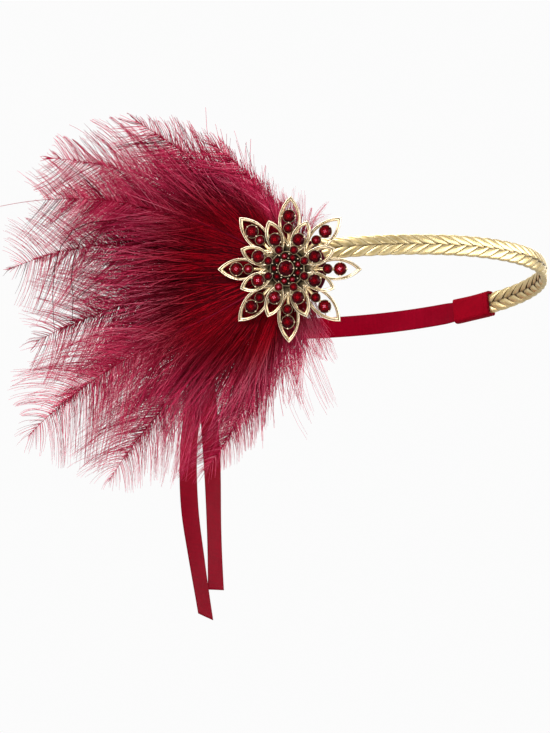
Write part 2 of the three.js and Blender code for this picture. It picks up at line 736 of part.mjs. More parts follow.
// Assembly
const headband = new THREE.Group();
const knotHalf = KNOT_LENGTH / 2 + CLEARANCE;
headband.add(
  named('braid_band', braidGeometry(), goldBraid),
  named('sleeve_right', sleeveGeometry(-RIGHT_MOUTH, -1), endCloth),
  named('sleeve_left', sleeveGeometry(LEFT_MOUTH, 1), endCloth),
  named(
    'ribbon_right',
    loopRibbonGeometry(
      -RIGHT_MOUTH - SLEEVE_LENGTH + RIBBON_TUCK,
      KNOT_DISTANCE - loopPerimeter + knotHalf,
    ),
    satin,
  ),
  named(
    'ribbon_left',
    loopRibbonGeometry(LEFT_MOUTH + SLEEVE_LENGTH - RIBBON_TUCK, KNOT_DISTANCE - knotHalf),
    satin,
  ),
  named('ribbon_knot', knotGeometry(), satin),
  named('tail_long', tailGeometry(LONG_TAIL, LONG_TAIL_LINE, -TAIL_SPACING / 2), satin),
  named('tail_short', tailGeometry(SHORT_TAIL, SHORT_TAIL_LINE, TAIL_SPACING / 2), satin),
);

// Backing, plumes and brooch share one plane, pitched down on the band's face.
const seat = stationAt(BROOCH_DISTANCE);
const right = seat.run.clone().negate();
const facing = seat.outward.clone().applyAxisAngle(right, radians(BROOCH_PITCH));
const high = new THREE.Vector3().crossVectors(facing, right);
const ornament = new THREE.Group();
ornament.quaternion.setFromRotationMatrix(new THREE.Matrix4().makeBasis(right, high, facing));
ornament.rotateZ(radians(BROOCH_ROLL));
ornament.position
  .copy(seat.point)
  .addScaledVector(upward, -BROOCH_DROP)
  .addScaledVector(seat.outward, BACKING_STANDOFF);
headband.add(ornament);

const disc = [[0, 0], [BACKING_RADIUS, 0], [BACKING_RADIUS, BACKING_THICKNESS], [0, BACKING_THICKNESS]];
ornament.add(named('felt_backing', turned(disc, 20), felt));
for (const plume of PLUMES) {
  ornament.add(named(plume.name, plumeGeometry(plume), plumage));
}
ornament.add(named('brooch_setting', settingGeometry(), gilt));
for (const { name, radius, place, angle, level } of stones) {
  const stone = named(name, stoneGeometry(radius), garnet);
  stone.position.set(place * Math.cos(angle), place * Math.sin(angle), 0);
  stone.position.z = level + CUP_HEIGHT + CLEARANCE;
  stone.rotation.z = angle;
  ornament.add(stone);
}

export default headband;
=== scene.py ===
import math

import bmesh
import bpy
import numpy as np
from mathutils import Matrix, Vector


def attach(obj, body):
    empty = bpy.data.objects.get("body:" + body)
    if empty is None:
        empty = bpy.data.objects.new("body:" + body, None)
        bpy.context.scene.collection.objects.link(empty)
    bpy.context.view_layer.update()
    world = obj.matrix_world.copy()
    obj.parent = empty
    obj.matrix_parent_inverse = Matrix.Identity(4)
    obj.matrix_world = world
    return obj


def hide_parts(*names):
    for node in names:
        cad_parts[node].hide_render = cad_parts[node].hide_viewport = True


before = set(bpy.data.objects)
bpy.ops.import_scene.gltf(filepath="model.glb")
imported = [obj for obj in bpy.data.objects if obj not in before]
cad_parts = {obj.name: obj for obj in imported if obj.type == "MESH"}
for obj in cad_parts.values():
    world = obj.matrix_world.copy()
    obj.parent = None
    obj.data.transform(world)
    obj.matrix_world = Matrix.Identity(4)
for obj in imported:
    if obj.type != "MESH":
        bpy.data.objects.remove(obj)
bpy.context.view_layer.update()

MM = 0.001
SLEEVE_SEED = 23
FELT_SEED = 5
STONE_SEED = 11
FIRST_PLUME_SEED = 40

# The head loop: an ellipse in a tilted plane, in millimetres
LOOP_LENGTH = 195.6
LOOP_WIDTH = 156.0
LOOP_TILT = math.radians(4.4)
FORWARD = np.array([math.cos(LOOP_TILT), 0, math.sin(LOOP_TILT)])
SIDEWAYS = np.array([0, -1, 0])
UPWARD = np.array([-math.sin(LOOP_TILT), 0, math.cos(LOOP_TILT)])

# Band, sleeves and ribbons
BRAID_HALF_WIDTH = 5.25
BRAID_HALF_THICKNESS = 1.8
BRAID_PITCH = 6.7
BRAID_SLANT = 7.4
RIGHT_MOUTH = -60.5
LEFT_MOUTH = 203.0
SLEEVE_LENGTH = 22.0
CAVITY_HALF_DEPTH = 1.8
CAVITY_HALF_HEIGHT = 5.25
SLEEVE_WALL = 1.0
STITCH_SPACING = 1.55
RIBBON_WIDTH = 10.6
RIBBON_TUCK = 5.0
SATIN_THICKNESS = 0.42
KNOT_DISTANCE = 333.7
KNOT_LENGTH = 12.0
KNOT_HEIGHT = 13.0
KNOT_DEPTH = 8.0
CLEARANCE = 0.3
LONG_TAIL = 146.0
SHORT_TAIL = 130.0
TAIL_SWAY = 10.0
TAIL_TURN = math.radians(41)
TAIL_SPACING = 9.0

# Ornament
BROOCH_DISTANCE = 167.0
BROOCH_DROP = 9.2
BROOCH_PITCH = math.radians(10.5)
BROOCH_ROLL = math.radians(-7.5)
BACKING_STANDOFF = 1.0
BACKING_RADIUS = 17.0
BACKING_THICKNESS = 1.5
PLUME_BED = 6.8
OUTER_PETAL = {"tip": 36.5, "base": 11.0, "width": 11.2, "level": 8.6, "rise": 4.0}
INNER_PETAL = {"tip": 26.0, "base": 8.0, "width": 9.0, "level": 13.6, "rise": 1.5}
PETALS = 8
RIM_WIDTH = 1.5
RIM_POINT = 1.7
CROWN_LEVEL = 15.8
CUP_HEIGHT = 2.2
STONE_KINDS = {
    "outer": {"radius": 3.0, "place": 26.3, "claws": 4, "turn": 0, "row": "outer"},
    "outer_small": {"radius": 2.25, "place": 20.1, "claws": 0, "turn": 0, "row": "outer"},
    "inner": {"radius": 3.0, "place": 15.5, "claws": 4, "turn": 45, "row": "inner"},
    "inner_small": {"radius": 2.0, "place": 9.9, "claws": 0, "turn": 0, "row": "inner"},
}
CENTRE_RADIUS = 3.7
RING_RADIUS = 1.45
RING_PLACE = 6.2
RING_COUNT = 9
RING_SEAT = 2.3
RING_CLAW_PLACES = (5.15, 7.45)

# Plumes
PLUME_REACH = 154.0
PLUME_HALF_WIDTH = 27.0
PLUME_ROOT = 9.0
QUILL_RADIUS = 0.75
VANE_HALF_THICKNESS = 3.0
FLAT_HALF_THICKNESS = 0.75
LAYER_SPREAD = 9.4
BARB_POINTS = 8
FLUFF_PER_PLUME = 1300
DOWN_PER_PLUME = 560
COMB_SPACING = 0.62
# Each plume: its layer from the back, the quill's angles at root, middle and tip, and shares of the
# full reach and width. The rest says how many barbs it has and how they lie.
PLUMES = {
    "crest": {
        "layer": 2, "angles": (104, 112, 122), "reach": 0.47, "width": 0.55, "locks": 0.9, "open": 0.7,
        "pale": 0.08, "curl": 3.2, "fluff": 0.9
    },
    "upper": {
        "layer": 1, "angles": (121, 130, 137), "reach": 0.7, "width": 0.76, "locks": 0.9, "open": 0.75,
        "fluff": 0.6, "curl": 3.0
    },
    "high_left": {
        "layer": 0, "angles": (135, 146, 156), "reach": 0.9, "width": 0.84, "locks": 0.85, "open": 0.78,
        "fluff": 0.65, "curl": 2.6
    },
    "quill": {
        "layer": 2, "angles": (148, 157, 168), "reach": 0.97, "width": 0.72, "comb_end": 0.84, "open": 0.9
    },
    "left": {"layer": 1, "angles": (163, 170, 180), "reach": 0.935, "width": 0.88},
    "low_left": {
        "layer": 0, "angles": (187, 190, 195), "reach": 0.88, "width": 0.94, "locks": 0.5, "open": 0.85
    },
    "long": {"layer": 2, "angles": (213, 209, 212.5), "reach": 1.0, "width": 1.0, "pale": 0.17},
    "lower": {
        "layer": 1, "angles": (230, 227, 229), "reach": 0.9, "width": 1.0, "open": 0.85, "down_spread": 16,
        "down": 1.3, "pale": 0.25
    },
    "bottom": {
        "layer": 0, "angles": (247, 250, 246), "reach": 0.7, "width": 0.8, "locks": 0.6, "open": 0.75,
        "down_spread": 17, "down": 1.1, "pale": 0.2
    },
}
# Long loose barbs that have slipped out of the vanes and hang across the fan
STRAY_BARBS = {
    "quill": [
        [(-86, 24), (-99, 23), (-108, 19), (-114, 11), (-117, 1), (-118, -13), (-117.5, -26), (-116, -39)],
        [
            (-88, 21), (-97, 19), (-104, 14), (-107.5, 5), (-108.5, -5), (-107.5, -14), (-108, -25),
            (-108.5, -36),
        ],
    ],
    "left": [
        [(-62, -8), (-68, -12), (-74, -17), (-80, -24), (-84, -31), (-87, -36), (-89, -41), (-90, -46)],
    ],
}
# Loose tufts beside the brooch: first angle, last angle and number of barbs
TUFTS = {"crest": (62, 106, 150), "bottom": (260, 303, 250)}
# How far the fan reaches at each angle round the brooch
FAN_EDGE = [
    (60, 30), (80, 36), (97, 42), (105, 45), (113, 51), (117, 69), (124, 87), (131, 98),
    (138, 116), (149, 131), (159, 136), (168, 138.5), (179, 141), (186, 133), (193, 134),
    (202, 144), (207, 149), (212.6, 154), (222, 143), (231, 133), (239, 122), (251, 104),
    (259, 83), (263.5, 67), (273, 58), (285, 50), (300, 46), (330, 36), (360, 30),
]

# The tails' middle lines: share of the length and share of the sway
LONG_TAIL_LINE = [(0, 0), (0.2, -0.3), (0.42, -0.62), (0.62, -0.55), (0.8, -0.2), (1, 0.25)]
SHORT_TAIL_LINE = [(0, 0.1), (0.25, 0.36), (0.5, 0.56), (0.75, 0.66), (1, 0.76)]


def smooth(value, start, end):
    share = np.clip((np.asarray(value, float) - start) / (end - start), 0, 1)
    return share * share * (3 - 2 * share)


def mix(a, b, share):
    return a + (b - a) * share


def turns_round(count):
    return np.linspace(0, 2 * math.pi, count, endpoint=False)


def unit(vectors):
    vectors = np.asarray(vectors, float)
    return vectors / np.linalg.norm(vectors, axis=-1, keepdims=True)


# Places on the loop, by distance round it from the forehead
LOOP_ANGLES = np.linspace(0, 2 * math.pi, 1441)


def loop_points(angles):
    angles = np.asarray(angles)[..., None]
    return FORWARD * LOOP_LENGTH / 2 * np.cos(angles) + SIDEWAYS * LOOP_WIDTH / 2 * np.sin(angles)


_steps = np.linalg.norm(np.diff(loop_points(LOOP_ANGLES), axis=0), axis=1)
LOOP_DISTANCES = np.concatenate([[0], np.cumsum(_steps)])
PERIMETER = LOOP_DISTANCES[-1]


def stations(distances):
    """Points, runs and outward directions of the loop at these distances."""
    distances = np.mod(np.asarray(distances, float), PERIMETER)
    angles = np.interp(distances, LOOP_DISTANCES, LOOP_ANGLES)
    run = unit(
        -FORWARD * LOOP_LENGTH / 2 * np.sin(angles)[..., None]
        + SIDEWAYS * LOOP_WIDTH / 2 * np.cos(angles)[..., None]
    )
    return loop_points(angles), run, np.cross(np.broadcast_to(UPWARD, run.shape), run)


def on_loop(distances, out, up):
    points, _, outward = stations(distances)
    return points + outward * np.asarray(out)[..., None] + UPWARD * np.asarray(up)[..., None]


# The ornament's own frame: x to the right, y up and z away from the head
def ornament_frame():
    point, run, outward = (Vector(v) for v in stations(BROOCH_DISTANCE))
    right = -run
    facing = Matrix.Rotation(BROOCH_PITCH, 3, right) @ outward
    high = facing.cross(right)
    turn = Matrix((right, high, facing)).transposed() @ Matrix.Rotation(BROOCH_ROLL, 3, "Z")
    seat = point - Vector(UPWARD) * BROOCH_DROP + outward * BACKING_STANDOFF
    return np.array(turn), np.array(seat)


ORNAMENT_TURN, ORNAMENT_SEAT = ornament_frame()


def turned(directions):
    return np.asarray(directions, float) @ ORNAMENT_TURN.T


def on_ornament(points):
    return turned(points) + ORNAMENT_SEAT


# Mesh building
def mesh_of(name, points, faces, named=None):
    """A mesh in metres from points in millimetres. named holds values by name, one for each point."""
    mesh = bpy.data.meshes.new(name)
    mesh.from_pydata((np.asarray(points, float) * MM).tolist(), [], [tuple(f) for f in faces])
    for label, values in (named or {}).items():
        store(mesh, label, values)
    mesh.update()
    return mesh


def store(mesh, label, values, domain="POINT"):
    values = np.asarray(values, np.float32)
    kind, field = {1: ("FLOAT", "value"), 2: ("FLOAT_COLOR", "color")}[values.ndim]
    if values.ndim == 2 and values.shape[1] == 3:
        kind, field = "FLOAT_VECTOR", "vector"
    attribute = mesh.attributes.new(label, kind, domain)
    attribute.data.foreach_set(field, values.ravel())


def cloth_map(mesh, flat_places):
    """Lays the cloth's own flat coordinates, in metres, on the mesh as its UV map."""
    layer = mesh.uv_layers.new(name="cloth")
    corners = np.zeros(len(mesh.loops), np.int32)
    mesh.loops.foreach_get("vertex_index", corners)
    layer.data.foreach_set("uv", np.asarray(flat_places, np.float32)[corners].ravel())


def object_of(name, mesh, finish=None, shade_smooth=True):
    piece = bpy.data.objects.new(name, mesh)
    bpy.context.collection.objects.link(piece)
    if finish is not None:
        mesh.materials.append(finish)
    if shade_smooth:
        mesh.shade_smooth()
    return piece


def loft_faces(rings, around, closed=False, capped=True):
    """Faces between rings of equally many points."""
    faces = []
    for i in range(rings if closed else rings - 1):
        for j in range(around):
            a, b = i * around + j, i * around + (j + 1) % around
            c, d = ((i + 1) % rings) * around + j, ((i + 1) % rings) * around + (j + 1) % around
            faces.append((a, b, d, c))
    if capped and not closed:
        last = (rings - 1) * around
        faces.append(tuple(range(around))[::-1])
        faces.append(tuple(range(last, last + around)))
    return faces


def pole_faces(rings, around):
    """Faces over rings of points that lie between a first and a last point on the axis."""
    last = rings * around + 1
    faces = []
    for j in range(around):
        k = (j + 1) % around
        faces.append((0, 1 + k, 1 + j))
        faces.append((last, last - around + j, last - around + k))
        for row in range(1, 1 + (rings - 1) * around, around):
            faces.append((row + j, row + k, row + around + k, row + around + j))
    return faces


def facing_out(mesh):
    """Turns a closed mesh inside out where its volume comes out negative."""
    work = bmesh.new()
    work.from_mesh(mesh)
    bmesh.ops.recalc_face_normals(work, faces=work.faces)
    if work.calc_volume(signed=True) < 0:
        bmesh.ops.reverse_faces(work, faces=work.faces)
    work.to_mesh(mesh)
    work.free()
    return mesh


# Shader node groups
def add(tree, kind, **values):
    """A new node. Each value is a setting of the node, or an input's constant or link."""
    node = tree.nodes.new(kind)
    for label, value in values.items():
        if hasattr(node, label) and label.islower():
            setattr(node, label, value)
        else:
            feed(tree, value, node.inputs[label.replace("_", " ")])
    return node


def blend_colours(tree, kind, share, first, second):
    node = tree.nodes.new("ShaderNodeMix")
    node.data_type = "RGBA"
    node.blend_type = kind
    for socket, value in zip((node.inputs[0], node.inputs[6], node.inputs[7]), (share, first, second)):
        feed(tree, value, socket)
    return node.outputs[2]


def feed(tree, value, socket):
    if isinstance(value, bpy.types.NodeSocket):
        tree.links.new(value, socket)
    elif isinstance(value, tuple) and len(value) == 3 and socket.type == "RGBA":
        socket.default_value = (*value, 1)
    else:
        socket.default_value = value


def maths(tree, operation, first, second=0.5, clamp=False):
    node = tree.nodes.new("ShaderNodeMath")
    node.operation = operation
    node.use_clamp = clamp
    feed(tree, first, node.inputs[0])
    feed(tree, second, node.inputs[1])
    return node.outputs[0]


def ramp(tree, share, stops):
    node = tree.nodes.new("ShaderNodeValToRGB")
    feed(tree, share, node.inputs[0])
    ramp_stops = node.color_ramp.elements
    while len(ramp_stops) < len(stops):
        ramp_stops.new(0.5)
    for stop, (place, colour) in zip(ramp_stops, stops):
        stop.position = place
        stop.color = (*colour, 1) if isinstance(colour, tuple) else (colour, colour, colour, 1)
    return node.outputs[0]


def group_of(name, kind, inputs, outputs):
    """A node group. Each socket has a kind, and an input may have a starting value."""
    group = bpy.data.node_groups.new(name, kind)
    for label, (socket_kind, *value) in inputs.items():
        socket = group.interface.new_socket(label, in_out="INPUT", socket_type="NodeSocket" + socket_kind)
        if value:
            socket.default_value = value[0]
    for label, socket_kind in outputs.items():
        group.interface.new_socket(label, in_out="OUTPUT", socket_type="NodeSocket" + socket_kind)
    return group, group.nodes.new("NodeGroupInput").outputs, group.nodes.new("NodeGroupOutput").inputs


def blended(group, share, first, second):
    node = group.nodes.new("ShaderNodeMix")
    for socket, value in zip((node.inputs[0], node.inputs[2], node.inputs[3]), (share, first, second)):
        feed(group, value, socket)
    return node.outputs[0]


def mottle_group():
    """Slow and fine variation of tone over a surface, on its own coordinates."""
    group, given, out = group_of(
        "tone_variation", "ShaderNodeTree",
        {"Vector": ("Vector",), "Scale": ("Float", 60.0), "Fine share": ("Float", 0.35)},
        {"Tone": "Float"},
    )
    noise, at, scale = "ShaderNodeTexNoise", given["Vector"], given["Scale"]
    slow = add(group, noise, Vector=at, Scale=scale, Detail=3.0, Roughness=0.55)
    finer = maths(group, "MULTIPLY", scale, 9.0)
    fine = add(group, noise, Vector=at, Scale=finer, Detail=2.0, Roughness=0.6)
    blend = blended(group, given["Fine share"], slow.outputs[0], fine.outputs[0])
    group.links.new(blend, out["Tone"])
    return group


def wear_group():
    """Rubbed edges: a mask that is high where the edge value is high and the surface is scuffed."""
    group, given, out = group_of(
        "rubbed_edges", "ShaderNodeTree",
        {"Vector": ("Vector",), "Edge": ("Float", 0.0), "Scale": ("Float", 400.0), "Amount": ("Float", 0.5)},
        {"Mask": "Float", "Height": "Float"},
    )
    scuffs = add(
        group, "ShaderNodeTexNoise", Vector=given["Vector"], Scale=given["Scale"], Detail=4.0, Roughness=0.65
    )
    rubbed = maths(group, "MULTIPLY", given["Edge"], scuffs.outputs[0])
    rubbed = maths(group, "MULTIPLY", rubbed, maths(group, "MULTIPLY", given["Amount"], 2.0), True)
    group.links.new(rubbed, out["Mask"])
    group.links.new(scuffs.outputs[0], out["Height"])
    return group


def weave_group():
    """Fine threads across a cloth, on its flat map in metres: a height and a tone for each thread."""
    group, given, out = group_of(
        "thread_weave", "ShaderNodeTree",
        {"Vector": ("Vector",), "Weft per metre": ("Float", 5000.0), "Warp per metre": ("Float", 6000.0),
         "Warp share": ("Float", 0.4)},
        {"Height": "Float", "Tone": "Float"},
    )
    split = add(group, "ShaderNodeSeparateXYZ", Vector=given["Vector"])
    turns = []
    for place, count in ((split.outputs["Y"], "Weft per metre"), (split.outputs["X"], "Warp per metre")):
        phase = maths(group, "MULTIPLY", maths(group, "MULTIPLY", place, given[count]), 2 * math.pi)
        turns.append(maths(group, "ABSOLUTE", maths(group, "SINE", phase)))
    group.links.new(blended(group, given["Warp share"], *turns), out["Height"])
    stretch = add(group, "ShaderNodeMapping", Vector=given["Vector"], Scale=(0.12, 1.0, 1.0))
    slub = add(group, "ShaderNodeTexNoise", Vector=stretch.outputs[0], Scale=900.0, Detail=2.0)
    group.links.new(slub.outputs[0], out["Tone"])
    return group


TONE = mottle_group()
WEAR = wear_group()
WEAVE = weave_group()


def placed_group(tree, group, vector, **values):
    return add(tree, "ShaderNodeGroup", node_tree=group, Vector=vector, **values)


def finish_of(name, **settings):
    """A new material with its Principled shader, and the constant values of its sockets."""
    material = bpy.data.materials.new(name)
    material.use_nodes = True
    tree = material.node_tree
    shader = tree.nodes["Principled BSDF"]
    for label, value in settings.items():
        shader.inputs[label.replace("_", " ")].default_value = value
    return material, tree, shader


def object_place(tree):
    return tree.nodes.new("ShaderNodeTexCoord").outputs["Object"]


def tone_at(tree, place, scale, fine):
    return placed_group(tree, TONE, place, Scale=scale, Fine_share=fine).outputs["Tone"]


def coloured(tree, shader, base, rough):
    tree.links.new(base, shader.inputs["Base Color"])
    tree.links.new(rough, shader.inputs["Roughness"])


def stored(tree, label, output="Fac"):
    node = tree.nodes.new("ShaderNodeAttribute")
    node.attribute_name = label
    return node.outputs[output]


def bumped(tree, shader, height, strength, distance):
    bump = add(tree, "ShaderNodeBump", Strength=strength, Distance=distance, Height=height)
    tree.links.new(bump.outputs[0], shader.inputs["Normal"])


def gold_leather():
    """Pale gold coated leather: soft grain, and dark brown painted shade where the leaves tuck under each
    other.
    """
    material, tree, shader = finish_of(
        "gold_leather", Metallic=0.85, IOR=1.5, Coat_Weight=0.25, Coat_Roughness=0.3
    )
    place = object_place(tree)
    tone = tone_at(tree, place, 140.0, 0.4)
    base = ramp(
        tree, tone, [(0.3, (0.68, 0.48, 0.19)), (0.52, (0.83, 0.63, 0.29)), (0.75, (0.94, 0.77, 0.42))]
    )
    crease = stored(tree, "crease")
    wear = placed_group(tree, WEAR, place, Edge=stored(tree, "ridge"), Scale=520.0, Amount=0.5)
    base = blend_colours(tree, "MIX", wear.outputs["Mask"], base, (0.95, 0.84, 0.56))
    # Painted shade: the crease value darkens the leaves to near black brown at their edges and tucked ends.
    shade = ramp(tree, crease, [(0.0, 0.0), (0.25, 0.07), (0.52, 0.78), (0.8, 1.0)])
    base = blend_colours(tree, "MIX", shade, base, (0.06, 0.024, 0.006))
    rough = ramp(tree, tone, [(0.25, 0.26), (0.8, 0.42)])
    coloured(tree, shader, base, rough)
    grain = add(tree, "ShaderNodeTexVoronoi", feature="SMOOTH_F1", Vector=place, Scale=1900.0)
    bumped(tree, shader, grain.outputs["Distance"], 0.22, 0.00012)
    return material


def gilt_metal():
    """Champagne gilt casting: bright on the lips, with dark antique patina in the hollows and painted shade
    in the cups, on the stone seats and underneath.
    """
    material, tree, shader = finish_of("champagne_gilt", Metallic=0.9)
    place = object_place(tree)
    tone = tone_at(tree, place, 190.0, 0.3)
    base = ramp(
        tree, tone, [(0.3, (0.90, 0.66, 0.34)), (0.55, (1.0, 0.77, 0.46)), (0.8, (1.0, 0.79, 0.57))]
    )
    wear = placed_group(tree, WEAR, place, Edge=stored(tree, "lip"), Scale=700.0, Amount=0.7)
    base = blend_colours(tree, "MIX", wear.outputs["Mask"], base, (1.0, 0.86, 0.65))
    # Painted shade with antique patina: marked hollows, cups, stone seats and undersides go nearly black.
    dark_patina_and_shade = maths(tree, "MULTIPLY", stored(tree, "patina_and_shade"), maths(tree, "ADD", tone, 0.75), True)
    base = blend_colours(tree, "MIX", dark_patina_and_shade, base, (0.025, 0.017, 0.010))
    rough = ramp(tree, tone, [(0.3, 0.24), (0.8, 0.36)])
    rough = maths(tree, "ADD", rough, maths(tree, "MULTIPLY", dark_patina_and_shade, 0.3))
    coloured(tree, shader, base, rough)
    bumped(tree, shader, wear.outputs["Height"], 0.12, 0.0001)
    return material


def garnet_glass():
    """Foil-backed red glass with painted light: each face of the cut has its own painted brightness, from a
    pink painted glint to nearly black painted shade.
    """
    material, tree, shader = finish_of(
        "garnet_glass", Metallic=0.0, IOR=1.52, Coat_Weight=0.06, Coat_Roughness=0.02,
        Specular_IOR_Level=0.12, Specular_Tint=(1.0, 0.3, 0.4, 1)
    )
    painted_facet_light = stored(tree, "painted_facet_light")
    turn = stored(tree, "tone")
    share = maths(tree, "ADD", painted_facet_light, maths(tree, "MULTIPLY", turn, 0.3), True)
    # The ramp's pink top is a painted glint; its dark low end is painted shade.
    base = ramp(
        tree, share,
        [(0.0, (0.018, 0.0, 0.001)), (0.3, (0.055, 0.0, 0.0015)), (0.62, (0.14, 0.0002, 0.002)),
         (0.9, (0.4, 0.0015, 0.008)), (1.0, (0.95, 0.22, 0.34))],
    )
    haze = tone_at(tree, object_place(tree), 420.0, 0.2)
    base = blend_colours(tree, "MULTIPLY", 0.5, base, ramp(tree, haze, [(0.3, 0.45), (0.7, 1.0)]))
    coloured(tree, shader, base, ramp(tree, haze, [(0.3, 0.03), (0.8, 0.08)]))
    return material


def crimson_satin():
    """Satin ribbon: fine crosswise threads and a soft sheen, with firmer edges coloured darker."""
    material, tree, shader = finish_of(
        "crimson_satin", IOR=1.48, Sheen_Weight=0.04, Sheen_Roughness=0.3, Sheen_Tint=(1.0, 0.05, 0.12, 1),
        Specular_IOR_Level=0.09, Specular_Tint=(1.0, 0.1, 0.24, 1)
    )
    flat = add(tree, "ShaderNodeUVMap", uv_map="cloth").outputs[0]
    threads = placed_group(tree, WEAVE, flat, Weft_per_metre=2600.0, Warp_per_metre=3600.0, Warp_share=0.25)
    tone = tone_at(tree, object_place(tree), 45.0, 0.25)
    base = ramp(
        tree, tone,
        [(0.3, (0.165, 0.0001, 0.006)), (0.55, (0.205, 0.0002, 0.0085)), (0.8, (0.25, 0.0004, 0.011))]
    )
    streak = ramp(tree, threads.outputs["Tone"], [(0.3, 0.82), (0.7, 1.0)])
    base = blend_colours(tree, "MULTIPLY", 0.8, base, streak)
    darkening = maths(tree, "MULTIPLY", stored(tree, "dark_edge_and_shade"), 0.45)
    base = blend_colours(tree, "MIX", darkening, base, (0.13, 0.0008, 0.005))
    rough = ramp(tree, threads.outputs["Tone"], [(0.2, 0.34), (0.8, 0.48)])
    coloured(tree, shader, base, rough)
    bumped(tree, shader, threads.outputs["Height"], 0.25, 0.00006)
    return material


def ribbed_cloth():
    """Gathered end cloth: fine ribs, spaced along the band, with painted shade in the troughs between them, a
    darker cut edge, and painted shade inside the tube.
    """
    material, tree, shader = finish_of(
        "ribbed_crimson_cloth", Roughness=0.75, Sheen_Weight=0.03, Sheen_Roughness=0.5,
        Sheen_Tint=(1.0, 0.1, 0.2, 1), Specular_IOR_Level=0.05, Specular_Tint=(1.0, 0.1, 0.24, 1)
    )
    flat = add(tree, "ShaderNodeUVMap", uv_map="cloth").outputs[0]
    ribs = placed_group(tree, WEAVE, flat, Weft_per_metre=1050.0, Warp_per_metre=3000.0, Warp_share=0.2)
    tone = tone_at(tree, object_place(tree), 90.0, 0.5)
    base = ramp(tree, tone, [(0.3, (0.21, 0.0012, 0.008)), (0.75, (0.31, 0.002, 0.012))])
    # Painted shade: the cloth is darkened in the troughs between the ribs.
    base = blend_colours(
        tree, "MULTIPLY", 0.6, base, ramp(tree, ribs.outputs["Height"], [(0.0, 0.35), (0.6, 1.0)])
    )
    # Darker at the cut edge, with painted shade inside the tube.
    darkening = maths(tree, "MULTIPLY", stored(tree, "dark_edge_and_shade"), 0.6)
    base = blend_colours(tree, "MIX", darkening, base, (0.10, 0.0008, 0.005))
    coloured(tree, shader, base, ramp(tree, tone, [(0.2, 0.6), (0.8, 0.8)]))
    bumped(tree, shader, ribs.outputs["Height"], 0.55, 0.00022)
    return material


def wine_felt():
    """Pressed wool felt: matted fibres and a soft nap."""
    material, tree, shader = finish_of(
        "wine_felt", Roughness=0.95, Sheen_Weight=0.12, Sheen_Roughness=0.6, Sheen_Tint=(0.9, 0.2, 0.3, 1),
        Specular_IOR_Level=0.1
    )
    place = object_place(tree)
    tone = tone_at(tree, place, 260.0, 0.6)
    base = ramp(tree, tone, [(0.3, (0.035, 0.001, 0.006)), (0.7, (0.10, 0.004, 0.016))])
    coloured(tree, shader, base, ramp(tree, tone, [(0.3, 0.85), (0.7, 1.0)]))
    fibres = add(
        tree, "ShaderNodeTexNoise", Vector=place, Scale=3200.0, Detail=4.0, Distortion=1.2
    )
    bumped(tree, shader, fibres.outputs[0], 0.6, 0.0003)
    return material


def burgundy_plumage():
    """Dyed ostrich barbs: painted shade deep wine by the brooch, painted light rosy and pale at the tips and
    fan's edge.
    """
    material, tree, shader = finish_of(
        "burgundy_plumage", IOR=1.5, Sheen_Weight=0.06, Sheen_Roughness=0.35,
        Sheen_Tint=(1.0, 0.2, 0.35, 1), Specular_IOR_Level=0.08, Specular_Tint=(1.0, 0.3, 0.42, 1)
    )
    strand = tree.nodes.new("ShaderNodeSeparateColor")
    tree.links.new(stored(tree, "strand", "Color"), strand.inputs[0])
    tint, along, core_shade = strand.outputs
    deep = ramp(
        tree, tint,
        [
            (0.0, (0.07, 0.0006, 0.005)), (0.3, (0.29, 0.005, 0.028)), (0.6, (0.50, 0.018, 0.07)),
            (0.85, (0.72, 0.065, 0.14)), (1.0, (0.86, 0.20, 0.30))
        ]
    )
    bright = ramp(
        tree, tint,
        [(0.0, (0.042, 0.0002, 0.002)), (0.5, (0.125, 0.0002, 0.003)), (1.0, (0.31, 0.0008, 0.007))]
    )
    base = blend_colours(tree, "MIX", core_shade, deep, bright)
    # Painted light: barbs pale towards their tips and away from the brooch, as if light came through them.
    painted_tip_light = maths(tree, "MULTIPLY", along, ramp(tree, tint, [(0.1, 0.0), (0.4, 0.62)]))
    painted_tip_light = maths(tree, "MULTIPLY", painted_tip_light, ramp(tree, core_shade, [(0.0, 1.0), (0.7, 0.0)]))
    with_painted_tip_light = blend_colours(tree, "MIX", painted_tip_light, base, (0.60, 0.03, 0.105))
    tone = tone_at(tree, object_place(tree), 70.0, 0.5)
    base = blend_colours(tree, "MULTIPLY", 0.6, with_painted_tip_light, ramp(tree, tone, [(0.3, 0.6), (0.65, 1.0)]))
    coloured(tree, shader, base, ramp(tree, tone, [(0.3, 0.42), (0.7, 0.62)]))
    return material


FINISHES = {
    "leather": gold_leather(),
    "gilt": gilt_metal(),
    "garnet": garnet_glass(),
    "satin": crimson_satin(),
    "ribbed": ribbed_cloth(),
    "felt": wine_felt(),
    "plumage": burgundy_plumage(),
}


# Geometry Nodes
def geometry_group(name, inputs):
    inputs = {"Geometry": ("Geometry",), **inputs, "Finish": ("Material",)}
    group, given, out = group_of(name, "GeometryNodeTree", inputs, {"Geometry": "Geometry"})
    return group, given, out[0]


def named_value(group, label, kind):
    node = add(group, "GeometryNodeInputNamedAttribute", data_type=kind, Name=label)
    return node.outputs["Attribute"]


def turned_to(group, first, second):
    """A rotation whose x runs along the first direction and whose z leans to the second."""
    node = group.nodes.new("FunctionNodeAxesToRotation")
    node.primary_axis, node.secondary_axis = "X", "Z"
    feed(group, first, node.inputs["Primary Axis"])
    feed(group, second, node.inputs["Secondary Axis"])
    return node.outputs["Rotation"]


def finished(group, geometry, finish, out):
    whole = add(group, "GeometryNodeRealizeInstances", Geometry=geometry)
    coated = add(group, "GeometryNodeSetMaterial", Geometry=whole.outputs[0], Material=finish)
    group.links.new(coated.outputs[0], out)


